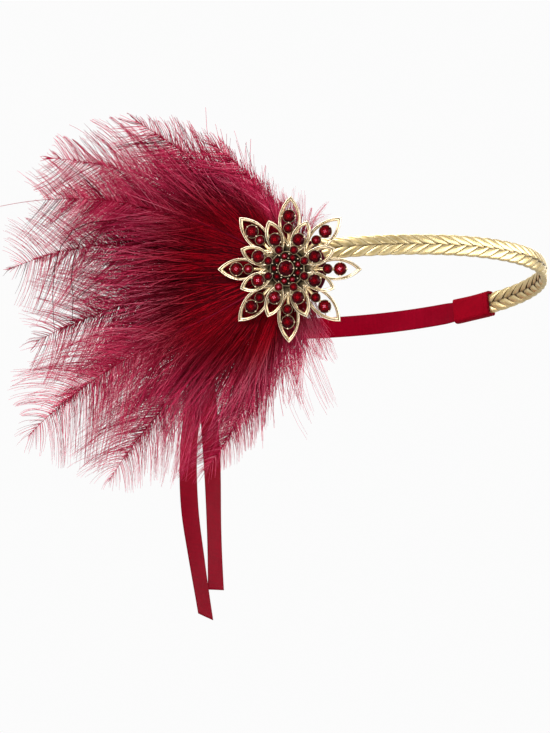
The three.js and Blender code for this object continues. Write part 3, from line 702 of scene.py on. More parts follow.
def path_setting_group():
    """One part set again and again along a path, turned with the path and eased in size."""
    inputs = {"Leaf": ("Object",), "Leaf count": ("Int", 40), "Plane up": ("Vector", (0, 0, 1))}
    group, given, out = geometry_group("leaves_along_band", inputs)
    path = add(group, "GeometryNodeMeshToCurve", Mesh=given["Geometry"])
    even = add(group, "GeometryNodeResampleCurve", Curve=path.outputs[0], Count=given["Leaf count"])
    leaf = add(group, "GeometryNodeObjectInfo", Object=given["Leaf"])
    run = group.nodes.new("GeometryNodeInputTangent").outputs[0]
    setting = add(
        group, "GeometryNodeInstanceOnPoints", Points=even.outputs[0], Instance=leaf.outputs["Geometry"],
        Rotation=turned_to(group, run, given["Plane up"]), Scale=named_value(group, "ease", "FLOAT_VECTOR")
    )
    finished(group, setting.outputs[0], given["Finish"], out)
    return group


def place_setting_group():
    """One part set on every point, turned and sized by what the point holds."""
    group, given, out = geometry_group("parts_on_places", {"Part": ("Object",), "Size": ("Float", 1.0)})
    points = add(group, "GeometryNodeMeshToPoints", Mesh=given["Geometry"])
    part = add(group, "GeometryNodeObjectInfo", Object=given["Part"])
    run, stand, size = (named_value(group, label, "FLOAT_VECTOR") for label in ("run", "stand", "size"))
    scale = add(group, "ShaderNodeVectorMath", operation="SCALE", Vector=size, Scale=given["Size"])
    setting = add(
        group, "GeometryNodeInstanceOnPoints", Points=points.outputs[0], Instance=part.outputs["Geometry"],
        Rotation=turned_to(group, run, stand), Scale=scale.outputs[0]
    )
    finished(group, setting.outputs[0], given["Finish"], out)
    return group


def strand_group():
    """Every chain of edges becomes a tapered strand, as thick as its points say."""
    group, given, out = geometry_group("tapered_strands", {"Sides": ("Int", 3), "Thickness": ("Float", 1.0)})
    path = add(group, "GeometryNodeMeshToCurve", Mesh=given["Geometry"])
    section = add(group, "GeometryNodeCurvePrimitiveCircle", Radius=1.0, Resolution=given["Sides"])
    thin = maths(group, "MULTIPLY", named_value(group, "thin", "FLOAT"), given["Thickness"])
    sweep = add(
        group, "GeometryNodeCurveToMesh", Curve=path.outputs[0], Profile_Curve=section.outputs[0],
        Scale=thin, Fill_Caps=True
    )
    soft = add(group, "GeometryNodeSetShadeSmooth", Geometry=sweep.outputs[0])
    finished(group, soft.outputs[0], given["Finish"], out)
    return group


LEAVES = path_setting_group()
PLACES = place_setting_group()
STRANDS = strand_group()


def grown(name, mesh, group, **inputs):
    """Runs a geometry tree on a mesh and keeps the result as a plain piece."""
    carrier = object_of(name + "_path", mesh, shade_smooth=False)
    modifier = carrier.modifiers.new("grow", "NODES")
    modifier.node_group = group
    for item in group.interface.items_tree:
        if item.in_out == "INPUT" and item.name.replace(" ", "_") in inputs:
            modifier[item.identifier] = inputs[item.name.replace(" ", "_")]
    bpy.context.view_layer.update()
    depsgraph = bpy.context.evaluated_depsgraph_get()
    result = bpy.data.meshes.new_from_object(carrier.evaluated_get(depsgraph), depsgraph=depsgraph)
    result.name = name
    bpy.data.objects.remove(carrier)
    return object_of(name, result, shade_smooth=False)


PATTERNS = []


def hidden_pattern(name, mesh, shade_smooth=True):
    """A part that only the geometry trees use, taken away again at the end."""
    part = object_of(name, mesh, shade_smooth=shade_smooth)
    PATTERNS.append(part)
    return part


def settled(piece, slot, *nodes):
    """A finished piece: rides on the body and stands for its CAD nodes. The finish slot is not used."""
    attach(piece, "root")
    if nodes:
        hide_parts(*nodes)
    return piece


# The plaited band
LEAF_STATIONS = 17
LEAF_ACROSS = 11


def closed_piece(name, mesh, finish, slot, *nodes):
    return settled(object_of(name, facing_out(mesh), FINISHES[finish]), slot, *nodes)


def leaf_mesh(name, half):
    """One leather leaf: from the middle of the face round the band's edge to the middle of the back.

    half is 1 for the upper row and -1 for the lower one."""
    turns = np.linspace(-0.24, math.pi + 0.24, LEAF_STATIONS)
    across = np.array([-0.5, -0.47, -0.41, -0.3, -0.15, 0, 0.15, 0.3, 0.41, 0.47, 0.5])
    rings, crease_shades, ridges = [], [], []
    for turn in turns:
        sine, cosine = math.sin(turn), math.cos(turn)
        up = BRAID_HALF_WIDTH * math.copysign(abs(sine) ** 0.9, sine)
        out = BRAID_HALF_THICKNESS * math.copysign(abs(cosine) ** 0.42, cosine)
        lean = -BRAID_SLANT * (1 - up / BRAID_HALF_WIDTH)
        dip = 1 - 0.42 * float(smooth(-up, -1.2, 1.1))
        round_off = np.cos(math.pi * across * 0.96)
        lift = (0.55 + 0.45 * np.clip(round_off, 0, 1) ** 0.36) * dip
        reach = 0.93 + 0.07 * np.clip(round_off, 0, 1) ** 0.7
        along = lean + (across - 0.02) * (BRAID_PITCH + 0.35)
        outer = np.stack([along, out * lift, half * up * reach], -1)
        inner_along = lean + np.array([0.42, 0.0, -0.42]) * BRAID_PITCH
        shrink = np.array([0.44, 0.4, 0.44]) * dip
        inner = np.stack([inner_along, out * shrink, np.full(3, half * up * 0.74)], -1)
        rings.append(np.concatenate([outer, inner]))
        # The crease value is painted shade: dark along each leaf's edges, strongest towards the band's middle
        # line where one leaf tucks under the next, and full on the hidden inner points.
        inner_end = 1 - float(smooth(up, 0.8, 3.0))
        edge = np.clip((np.abs(across) * 2 - 0.8) / 0.2, 0, 1) * mix(0.62, 1.0, inner_end)
        tucked_shade = float(np.clip((1 - dip) / 0.42, 0, 1)) ** 1.3
        crease_shades.append(np.concatenate([np.maximum(edge, tucked_shade), [1, 1, 1]]))
        crest = np.clip(1 - np.abs(np.abs(across) * 2 - 0.6) * 4, 0, 1)
        ridges.append(np.concatenate([crest, [0, 0, 0]]))
    around = LEAF_ACROSS + 3
    mesh = mesh_of(
        name, np.concatenate(rings), loft_faces(LEAF_STATIONS, around),
        {"crease": np.concatenate(crease_shades), "ridge": np.concatenate(ridges)},
    )
    return facing_out(mesh)


def band_path(name, start, end):
    distances = np.linspace(start, end, 500)
    points, _, _ = stations(distances)
    mesh = bpy.data.meshes.new(name)
    mesh.from_pydata((points * MM).tolist(), [(i, i + 1) for i in range(len(points) - 1)], [])
    free = smooth(distances, RIGHT_MOUTH - 2, RIGHT_MOUTH + 3) * (
        1 - smooth(distances, LEFT_MOUTH + 4, LEFT_MOUTH + 9)
    )
    slim = mix(0.86, 1.0, free)
    store(mesh, "ease", np.stack([np.ones_like(slim), slim, slim], -1))
    return mesh


def joined(name, pieces):
    with bpy.context.temp_override(active_object=pieces[0], selected_editable_objects=pieces):
        bpy.ops.object.join()
    pieces[0].name = name
    pieces[0].data.name = name
    return pieces[0]


def plaited_band():
    start, end = RIGHT_MOUTH - 1.5, LEFT_MOUTH + 9.5
    count = round((end - start) / BRAID_PITCH)
    pitch = (end - start) / count
    rows = []
    for label, half, shift in (("upper", 1, 0.0), ("lower", -1, 0.5)):
        pattern = hidden_pattern(f"leaf_{label}", leaf_mesh(f"leaf_{label}", half))
        path = band_path(f"row_{label}", start + shift * pitch, end + (shift - 1) * pitch)
        rows.append(
            grown(
                f"row_{label}", path, LEAVES, Leaf=pattern, Leaf_count=count,
                Plane_up=tuple(UPWARD), Finish=FINISHES["leather"],
            )
        )
    settled(joined("plaited_band", rows), "gold_braid", "braid_band")
    # A strap inside the plait, coloured wholly as painted shade, so the gaps between the leaves read dark.
    distances = np.linspace(RIGHT_MOUTH - 12, LEFT_MOUTH + 12, 260)
    turns = turns_round(12)
    rings = [
        on_loop(np.full(12, at), 0.6 * np.cos(turns), 3.7 * np.sin(turns)) for at in distances
    ]
    mesh = mesh_of(
        "band_core", np.concatenate(rings), loft_faces(len(rings), 12),
        {"crease": np.full(len(rings) * 12, 0.9), "ridge": np.zeros(len(rings) * 12)},
    )
    closed_piece("band_core", mesh, "leather", "gold_braid")


# Cloth: sleeves, ribbons, knot and tails
def rounded_section(half_depth, half_height, corner, steps=5):
    """Out and up of a flat oval's points, and how far round it each one is."""
    places = []
    for side, level, first in ((1, 1, 0), (-1, 1, 90), (-1, -1, 180), (1, -1, 270)):
        for turn in np.linspace(0, 90, steps):
            angle = math.radians(first + turn)
            places.append(
                (side * (half_depth - corner) + corner * math.cos(angle),
                 level * (half_height - corner) + corner * math.sin(angle))
            )
    places = np.array(places)
    steps_round = np.linalg.norm(places - np.roll(places, 1, axis=0), axis=1)
    return places, np.cumsum(steps_round) - steps_round[0]


def sleeve(name, mouth, direction):
    """A cloth tube, cut a little hollow at the band's side, with a soft shoulder at the ribbon's."""
    stops = np.array([0, 0.012, 0.03, 0.07, 0.1, 0.13, 0.16, 0.3, 0.5, 0.7, 0.84, 0.9, 0.96, 0.99, 1.0])
    thick = np.array(
        [0.8, 1.04, 1.08, 1.08, 1.07, 1.06, 1.05, 1.0, 0.96, 0.96, 0.98, 1.0, 0.98, 0.86, 0.55]
    )
    rings, flats, marks = [], [], []
    ripple = np.random.default_rng(SLEEVE_SEED)
    for stop, share in zip(stops, thick):
        at = mouth + direction * stop * SLEEVE_LENGTH
        wall = SLEEVE_WALL * share + 0.03 * ripple.standard_normal()
        places, round_it = rounded_section(
            CAVITY_HALF_DEPTH + wall, CAVITY_HALF_HEIGHT + wall, CAVITY_HALF_DEPTH
        )
        waist = 0.1 * math.sin(math.pi * stop)
        bow = 0.6 * (1 - (places[:, 1] / places[:, 1].max()) ** 2) * max(0.0, 1 - stop * 5)
        rings.append(on_loop(at + direction * bow, places[:, 0], places[:, 1] * (1 - waist / 6)))
        flats.append(np.stack([round_it, np.full(len(places), stop * SLEEVE_LENGTH)], -1))
        # Marked darker at the cut edge.
        marks.append(np.full(len(places), 1.0 if stop < 0.02 else 0.15 if stop < 0.04 else 0.0))
    # The inner rings line the tube; their mark of 0.6 is painted shade inside the sleeve.
    for stop in (1.0, 0.6, 0.2, 0.012):
        at = mouth + direction * stop * SLEEVE_LENGTH
        places, round_it = rounded_section(
            CAVITY_HALF_DEPTH + 0.03, CAVITY_HALF_HEIGHT + 0.03, CAVITY_HALF_DEPTH * 0.5
        )
        rings.append(on_loop(np.full(len(places), at), places[:, 0], places[:, 1]))
        flats.append(np.stack([round_it, np.full(len(places), stop * SLEEVE_LENGTH)], -1))
        marks.append(np.full(len(places), 0.6))
    mesh = mesh_of(
        name, np.concatenate(rings), loft_faces(len(rings), len(rings[0]), closed=True),
        {"dark_edge_and_shade": np.concatenate(marks)},
    )
    cloth_map(mesh, np.concatenate(flats) * MM)
    return object_of(name, facing_out(mesh), FINISHES["ribbed"])


RIBBON_COLUMNS = np.array([-0.5, -0.49, -0.455, -0.42, -0.3, -0.15, 0, 0.15, 0.3, 0.42, 0.455, 0.49, 0.5])


def strip(name, middles, across, face, widths, waves, cut=0.0):
    """A satin strip: its front and back are a ribbon's thickness apart, with firmer edges.

    waves is how far each row's middle columns stand off its edges; cut slants the last row."""
    rows = len(middles)
    columns = RIBBON_COLUMNS
    lengths = np.concatenate([[0], np.cumsum(np.linalg.norm(np.diff(middles, axis=0), axis=1))])
    edge = smooth(np.abs(columns), 0.44, 0.465)
    half = np.where(np.abs(columns) > 0.495, 0.12, SATIN_THICKNESS / 2 * (1 - 0.12 * edge))
    rings, flats = [], []
    for i in range(rows):
        bow = waves[i] * np.cos(math.pi * columns)
        base = middles[i] + np.outer(columns * widths[i], across[i]) + np.outer(bow, face[i])
        if cut and i >= rows - 3:
            ahead = unit(middles[-1] - middles[-2])
            base = base + np.outer(columns * cut * (i - rows + 4) / 3, ahead)
        front = base + np.outer(half, face[i])
        back = base - np.outer(half, face[i])
        rings.append(np.concatenate([front, back[::-1]]))
        place = np.stack([columns * RIBBON_WIDTH, np.full(len(columns), lengths[i])], -1)
        flats.append(np.concatenate([place, place[::-1]]))
    around = 2 * len(columns)
    ring_edge = np.concatenate([edge, edge[::-1]])
    mesh = mesh_of(
        name, np.concatenate(rings), loft_faces(rows, around), {"dark_edge_and_shade": np.tile(ring_edge, rows)}
    )
    cloth_map(mesh, np.concatenate(flats) * MM)
    piece = object_of(name, facing_out(mesh), FINISHES["satin"])
    return piece, lengths[-1]


def loop_ribbon(name, node, start, end, phase):
    shares = np.linspace(0, 1, 90)
    points, _, outward = stations(mix(start, end, shares))
    gather = smooth(shares, 0.86, 1)
    tuck = 1 - smooth(shares, 0.03, 0.08)
    widths = RIBBON_WIDTH * (1 - 0.07 * tuck) * mix(1, 0.68, gather)
    waves = (0.16 * np.sin(shares * 9 + phase) + 0.1 * np.sin(shares * 23 + 2 * phase)) * (1 - tuck)
    waves = waves * (1 - gather) + 0.5 * gather
    ups = np.broadcast_to(UPWARD, points.shape)
    piece, length = strip(name, points, ups, outward, widths, waves)
    settled(piece, "satin", node)


def line_at(line, shares):
    """A smooth curve through a table of shares and values."""
    xs, ys = (np.array(column, float) for column in zip(*line))
    slopes = np.gradient(ys, xs)
    found = np.clip(np.searchsorted(xs, shares, side="right") - 1, 0, len(xs) - 2)
    span = xs[found + 1] - xs[found]
    t = (shares - xs[found]) / span
    return (
        (2 * t**3 - 3 * t**2 + 1) * ys[found] + (t**3 - 2 * t**2 + t) * span * slopes[found]
        + (3 * t**2 - 2 * t**3) * ys[found + 1] + (t**3 - t**2) * span * slopes[found + 1]
    )


def tail(name, node, length, line, depth, phase, cut):
    point, _, _ = stations(KNOT_DISTANCE)
    top = point - UPWARD * (KNOT_HEIGHT / 2 + CLEARANCE)
    shares = np.linspace(0, 1, 110)
    opened = smooth(length * shares, 0, 16)
    sway = TAIL_SWAY * line_at(line, shares)
    middles = top + np.stack([sway, depth * mix(0.4, 1, opened), -length * shares], -1)
    turn = TAIL_TURN + 0.12 * np.sin(shares * 7 + phase) * opened
    across = np.stack([np.cos(turn), np.sin(turn), np.zeros_like(turn)], -1)
    face = np.stack([np.sin(turn), -np.cos(turn), np.zeros_like(turn)], -1)
    widths = RIBBON_WIDTH * mix(0.66, 1, opened)
    waves = mix(0.5, 0.14, opened) * np.sin(shares * 11 + phase) + 0.08 * np.sin(shares * 31 + phase)
    piece, run = strip(name, middles, across, face, widths, waves, cut)
    settled(piece, "satin", node)


def knot():
    """A tied knot: folds of ribbon drawn over each other, pinched where the ribbons go in."""
    rings, around = 44, 56
    point, run, outward = stations(KNOT_DISTANCE)
    polar = np.linspace(0.02, math.pi - 0.02, rings)
    turns = turns_round(around)
    points, flats = [], []
    for angle in polar:
        y = math.cos(angle)
        x, z = math.sin(angle) * np.cos(turns), math.sin(angle) * np.sin(turns)
        square = lambda value: np.sign(value) * np.abs(value) ** 0.8
        slant = y + 0.4 * x
        fold = 0.5 + 0.5 * np.cos(2 * math.pi * slant)
        crease = 1 - 0.2 * fold * (1 - abs(y))
        pleat = 0.035 * np.sin(13 * slant + 2.2 * x) + 0.02 * np.sin(27 * slant - 4 * z)
        wrap = 1 + 0.05 * np.exp(-((x / 0.34) ** 2))
        swell = crease * (1 + pleat) * wrap * 0.97
        spot = (
            point
            + np.outer(square(x) * KNOT_LENGTH / 2 * crease * (1 + pleat) * 0.99, run)
            + square(y) * KNOT_HEIGHT / 2 * UPWARD
            + np.outer(square(z) * KNOT_DEPTH / 2 * swell, outward)
        )
        points.append(spot)
        flats.append(np.stack([square(x) * 6, slant * 9], -1))
    edges = [np.exp(-(((np.abs(math.sin(a) * np.cos(turns)) - 0.36) / 0.03) ** 2)) for a in polar]
    mesh = mesh_of(
        "satin_knot", np.concatenate(points), loft_faces(rings, around), {"dark_edge_and_shade": np.concatenate(edges)}
    )
    cloth_map(mesh, np.concatenate(flats) * MM)
    closed_piece("satin_knot", mesh, "satin", "satin", "ribbon_knot")


def cloth_pieces():
    knot()
    for side, mouth, direction in (("right", RIGHT_MOUTH, -1), ("left", LEFT_MOUTH, 1)):
        settled(sleeve(f"cloth_sleeve_{side}", mouth, direction), "end_cloth", f"sleeve_{side}")
        stitches_round(side, mouth, direction)
    half = KNOT_LENGTH / 2 + CLEARANCE
    loop_ribbon(
        "satin_right", "ribbon_right", RIGHT_MOUTH - SLEEVE_LENGTH + RIBBON_TUCK,
        KNOT_DISTANCE - PERIMETER + half, 0.4,
    )
    loop_ribbon(
        "satin_left", "ribbon_left", LEFT_MOUTH + SLEEVE_LENGTH - RIBBON_TUCK, KNOT_DISTANCE - half,
        1.9,
    )
    tail("satin_tail_long", "tail_long", LONG_TAIL, LONG_TAIL_LINE, -TAIL_SPACING / 2, 0.6, 1.6)
    tail("satin_tail_short", "tail_short", SHORT_TAIL, SHORT_TAIL_LINE, TAIL_SPACING / 2, 2.3, -1.4)


def bead_mesh(name, half_length, half_width, half_height, around=8, rings=6):
    """A small rounded bead, long in x, closed by a point at each end."""
    points = [(-half_length, 0, 0)]
    for polar in np.linspace(0, math.pi, rings + 2)[1:-1]:
        for turn in turns_round(around):
            points.append(
                (-half_length * math.cos(polar), half_width * math.sin(polar) * math.cos(turn),
                 half_height * math.sin(polar) * math.sin(turn))
            )
    points.append((half_length, 0, 0))
    dark_edge_and_shade = np.zeros(len(points))
    return facing_out(mesh_of(name, points, pole_faces(rings, around), {"dark_edge_and_shade": dark_edge_and_shade}))


def places_mesh(name, points, run, stand, size, **more):
    """Loose points in millimetres that hold what place_setting_group reads."""
    mesh = bpy.data.meshes.new(name)
    mesh.from_pydata((np.asarray(points) * MM).tolist(), [], [])
    store(mesh, "run", run)
    store(mesh, "stand", stand)
    store(mesh, "size", size)
    for label, values in more.items():
        store(mesh, label, values)
    return mesh


def stitches_round(side, mouth, direction):
    """A row of short stitches that holds the sleeve's hem."""
    at = mouth + direction * 0.148 * SLEEVE_LENGTH
    places, _ = rounded_section(
        CAVITY_HALF_DEPTH + SLEEVE_WALL, CAVITY_HALF_HEIGHT + SLEEVE_WALL, CAVITY_HALF_DEPTH, 9
    )
    closed = np.concatenate([places, places[:1]])
    walk = np.concatenate([[0], np.cumsum(np.linalg.norm(np.diff(closed, axis=0), axis=1))])
    spots = np.arange(0, walk[-1], STITCH_SPACING)
    out, up = (np.interp(spots, walk, closed[:, i]) for i in (0, 1))
    ahead_out, ahead_up = (np.interp(spots + 0.4, walk, closed[:, i], period=walk[-1]) for i in (0, 1))
    _, forward_run, outward = stations(at)
    points = on_loop(np.full(len(spots), at), out, up)
    run = unit(np.outer(ahead_out - out, outward) + np.outer(ahead_up - up, UPWARD))
    stand = np.cross(run, np.broadcast_to(forward_run, run.shape))
    mesh = places_mesh(f"hem_places_{side}", points, run, stand, np.ones((len(spots), 3)))
    pattern = hidden_pattern(f"stitch_{side}", bead_mesh(f"stitch_{side}", 0.5, 0.13, 0.13, 6, 4))
    piece = grown(f"hem_stitches_{side}", mesh, PLACES, Part=pattern, Finish=FINISHES["ribbed"])
    settled(piece, "end_cloth")


# The backing

# The felt disc's rounded rim: how far inside its full radius, and height
FELT_RIM = [(1.2, 0.0), (0.4, 0.12), (0.05, 0.5), (0.0, 0.8), (0.1, 1.15), (0.5, 1.42), (1.2, 1.5)]
FELT_AROUND = 96
FELT_FRAY = 0.1


def felt_pad():
    rng = np.random.default_rng(FELT_SEED)
    ragged = np.convolve(np.tile(rng.standard_normal(FELT_AROUND), 3), np.ones(4) / 4, "same")
    fray = ragged[FELT_AROUND : 2 * FELT_AROUND] * FELT_FRAY
    points = [(0, 0, 0)]
    for inset, level in FELT_RIM:
        for j, turn in enumerate(turns_round(FELT_AROUND)):
            worn = BACKING_RADIUS - inset - FELT_FRAY + (fray[j] if inset < 1 else 0)
            points.append((worn * math.cos(turn), worn * math.sin(turn), level))
    points.append((0, 0, BACKING_THICKNESS))
    mesh = mesh_of("felt_pad", on_ornament(points), pole_faces(len(FELT_RIM), FELT_AROUND))
    closed_piece("felt_pad", mesh, "felt", "backing_felt", "felt_backing")


# The brooch
def of_setting(piece):
    return settled(piece, "brooch_metal", "brooch_setting")


def petal_level(petal, radius):
    tip, base = petal["tip"], petal["base"]
    return petal["level"] + petal["rise"] * (tip - radius) / (tip - base)


def pointed_oval(length, width, steps):
    radius = (length**2 / 4 + width**2 / 4) / width
    turns = np.arange(2 * steps) / steps * math.pi
    x = length / 2 * np.cos(turns)
    y = np.sqrt(radius**2 - x**2) - (radius - width / 2)
    y[0] = y[steps] = 0
    return np.stack([x, np.where(np.arange(2 * steps) <= steps, y, -y)], -1)


# A petal frame's section: share of the way inwards, height, antique patina in the channel with painted shade
# at the feet, polished lip
FRAME_SECTION = [
    (0.02, 0.0, 0.5, 0.0), (-0.01, 0.5, 0.3, 0.0), (0.0, 1.05, 0.0, 0.4), (0.05, 1.27, 0.0, 1.0),
    (0.14, 1.38, 0.0, 1.0), (0.25, 1.36, 0.0, 1.0), (0.32, 1.2, 0.35, 0.3), (0.37, 0.92, 1.0, 0.0),
    (0.44, 0.86, 1.0, 0.0), (0.5, 0.98, 0.25, 0.0), (0.56, 1.02, 0.0, 0.6), (0.66, 0.97, 0.0, 0.2),
    (0.86, 0.72, 0.05, 0.0), (0.97, 0.5, 0.0, 0.5), (1.0, 0.36, 0.2, 0.3), (1.0, 0.0, 0.6, 0.0),
]


def petal_frame(petal, angle, steps=26):
    length, middle = petal["tip"] - petal["base"], (petal["tip"] + petal["base"]) / 2
    outer = pointed_oval(length, petal["width"], steps)
    inner = pointed_oval(length - 2 * RIM_WIDTH * RIM_POINT, petal["width"] - 2 * RIM_WIDTH, steps)
    points = []
    for i in range(2 * steps):
        for inwards, height, _, _ in FRAME_SECTION:
            x, y = mix(outer[i], inner[i], inwards)
            radius = middle + x
            points.append((radius, y, petal_level(petal, radius) + height))
    points = np.array(points)
    turn = np.array(
        [[math.cos(angle), math.sin(angle), 0], [-math.sin(angle), math.cos(angle), 0], [0, 0, 1]]
    )
    patina_and_shade_values = np.tile([row[2] for row in FRAME_SECTION], 2 * steps)
    lips = np.tile([row[3] for row in FRAME_SECTION], 2 * steps)
    return points @ turn, patina_and_shade_values, lips


def petal_frames(name, petal, offset):
    """All the open petals of one row, each a stepped frame with its channel."""
    points, faces, patina_and_shade_values, lips = [], [], [], []
    total = 0
    for i in range(PETALS):
        spots, patina_and_shade, lip = petal_frame(petal, (i + offset) * 2 * math.pi / PETALS)
        ring_faces = loft_faces(len(spots) // len(FRAME_SECTION), len(FRAME_SECTION), closed=True)
        faces += [tuple(c + total for c in face) for face in ring_faces]
        points.append(spots)
        patina_and_shade_values.append(patina_and_shade)
        lips.append(lip)
        total += len(spots)
    mesh = mesh_of(
        name, on_ornament(np.concatenate(points)), faces,
        {"patina_and_shade": np.concatenate(patina_and_shade_values), "lip": np.concatenate(lips)},
    )
    return of_setting(object_of(name, facing_out(mesh), FINISHES["gilt"]))


def lathe_mesh(name, profile, around, placed_on=None):
    """A turned form. Each row of the profile holds radius, height, patina and painted shade, and lip."""
    points, patina_and_shade_values, lips = [(0, 0, profile[0][1])], [profile[0][2]], [profile[0][3]]
    for radius, height, patina_and_shade, lip in profile[1:-1]:
        for turn in turns_round(around):
            points.append((radius * math.cos(turn), radius * math.sin(turn), height))
            patina_and_shade_values.append(patina_and_shade)
            lips.append(lip)
    points.append((0, 0, profile[-1][1]))
    patina_and_shade_values.append(profile[-1][2])
    lips.append(profile[-1][3])
    faces = pole_faces(len(profile) - 2, around)
    points = placed_on(points) if placed_on else points
    return facing_out(mesh_of(name, points, faces, {"patina_and_shade": patina_and_shade_values, "lip": lips}))


def stone_places():
    """Where each kind of stone stands: places, levels and angles in the ornament's frame."""
    kinds = {}
    for kind, stone in STONE_KINDS.items():
        petal = OUTER_PETAL if stone["row"] == "outer" else INNER_PETAL
        offset = 0 if stone["row"] == "outer" else 0.5
        angles = (np.arange(PETALS) + offset) * 2 * math.pi / PETALS
        kinds[kind] = {**stone, "angles": angles, "level": petal_level(petal, stone["place"])}
    kinds["centre"] = {
        "radius": CENTRE_RADIUS, "place": 0.0, "claws": 6, "turn": 0, "angles": np.zeros(1),
        "level": CROWN_LEVEL,
    }
    kinds["ring"] = {
        "radius": RING_RADIUS, "place": RING_PLACE, "claws": 0, "turn": 0,
        "angles": (np.arange(RING_COUNT) + 0.5) * 2 * math.pi / RING_COUNT, "level": CROWN_LEVEL - 1.2,
    }
    return kinds


def stone_mesh(name):
    """A round stone of radius one: table, star, kite and girdle facets over a flat back."""
    table, star, crown, girdle = 0.62, 0.83, 0.42, 0.14
    eighth = math.pi / 4
    ring = lambda radius, height, count, first: [
        (
            radius * math.cos(first + i * 2 * math.pi / count),
            radius * math.sin(first + i * 2 * math.pi / count), height
        )
        for i in range(count)
    ]
    points = (
        [(0, 0, crown)] + ring(0.3, crown + 0.004, 8, eighth / 2) + ring(table, crown, 8, 0)
        + ring(star, crown * 0.62, 8, eighth / 2) + ring(0.99, girdle, 16, 0) + ring(0.99, 0, 16, 0)
    )
    inner, outer, stars, belt, foot = 1, 9, 17, 25, 41
    faces, painted_facet_lights = [], []

    def face(tone, *corners):
        faces.append(corners)
        painted_facet_lights.append(tone)

    # Each face's value is painted light: bright painted reflections across the table, dark painted shade on
    # the rim and girdle faces.
    for k in range(8):
        n = (k + 1) % 8
        face(0.9 if k % 2 else 0.6, 0, inner + k, inner + n)
        face(0.42 if k % 2 else 0.66, inner + k, outer + k, outer + n)
        face(0.25 if k % 2 else 0.5, inner + k, outer + n, inner + n)
        face(0.34 if k % 2 else 0.16, outer + k, stars + k, outer + n)
        face(0.12 if k % 2 else 0.4, outer + k, stars + (k - 1) % 8, belt + 2 * k, stars + k)
        face(0.22, stars + k, belt + 2 * k, belt + 2 * k + 1)
        face(0.1, stars + k, belt + 2 * k + 1, belt + (2 * k + 2) % 16)
    for j in range(16):
        n = (j + 1) % 16
        face(0.15, belt + j, foot + j, foot + n, belt + n)
    face(0.0, *[foot + j for j in reversed(range(16))])
    mesh = mesh_of(name, points, faces)
    counts = [len(corners) for corners in faces]
    store(mesh, "painted_facet_light", np.repeat(painted_facet_lights, counts), "CORNER")
    facing_out(mesh)
    return mesh


def cups_and_claws(cups, claws):
    """The gilt cups under the stones, and the claws and granules that hold them."""
    # The cups are marked dark almost all over: painted shade round and under the stones, with antique patina.
    cup_profile = [
        (0, 0, 0.6, 0), (0.80, 0.0, 0.5, 0), (0.84, 0.25, 0.2, 0.2), (0.82, 0.8, 0.9, 0),
        (0.9, 1.2, 0.3, 0.2), (1.1, 2.1, 0.7, 0.0), (1.15, 2.4, 0.6, 0.1), (1.12, 2.62, 0.45, 0.2),
        (1.05, 2.66, 0.7, 0.0), (1.02, 2.5, 0.8, 0), (0.98, 2.3, 1.0, 0), (0, 2.3, 1.0, 0),
    ]
    cup = hidden_pattern("cup_pattern", lathe_mesh("cup_pattern", cup_profile, 20))
    claw_profile = [
        (0, -0.9, 0.5, 0), (0.34, -0.9, 0.5, 0), (0.4, 0.2, 0.2, 0.3), (0.41, 0.6, 0.0, 0.8),
        (0.33, 0.92, 0.0, 1.0), (0.18, 1.08, 0.0, 1.0), (0, 1.12, 0, 1.0),
    ]
    claw = hidden_pattern("claw_pattern", lathe_mesh("claw_pattern", claw_profile, 8))
    for i in range(RING_COUNT):
        angle = i * 2 * math.pi / RING_COUNT
        lean = np.array([math.cos(angle), math.sin(angle), 0])
        for place in RING_CLAW_PLACES:
            claws.append((lean * place + [0, 0, CROWN_LEVEL + 0.75], lean))
    spots, runs = (np.concatenate([row[i] for row in cups]) for i in (0, 1))
    sizes = np.concatenate([np.full(len(row[0]), row[2]) for row in cups])
    mesh = places_mesh(
        "cup_places", on_ornament(spots), turned(runs),
        np.broadcast_to(ORNAMENT_TURN[:, 2], runs.shape), np.stack([sizes, sizes, np.ones_like(sizes)], -1),
    )
    of_setting(grown("gilt_cups", mesh, PLACES, Part=cup, Finish=FINISHES["gilt"]))
    spots, leans = (np.array(column) for column in zip(*claws))
    stand = unit(np.array([0, 0, 1]) - 0.3 * leans)
    mesh = places_mesh(
        "claw_places", on_ornament(spots), turned(leans), turned(stand),
        np.ones((len(spots), 3)),
    )
    of_setting(grown("gilt_claws", mesh, PLACES, Part=claw, Finish=FINISHES["gilt"]))


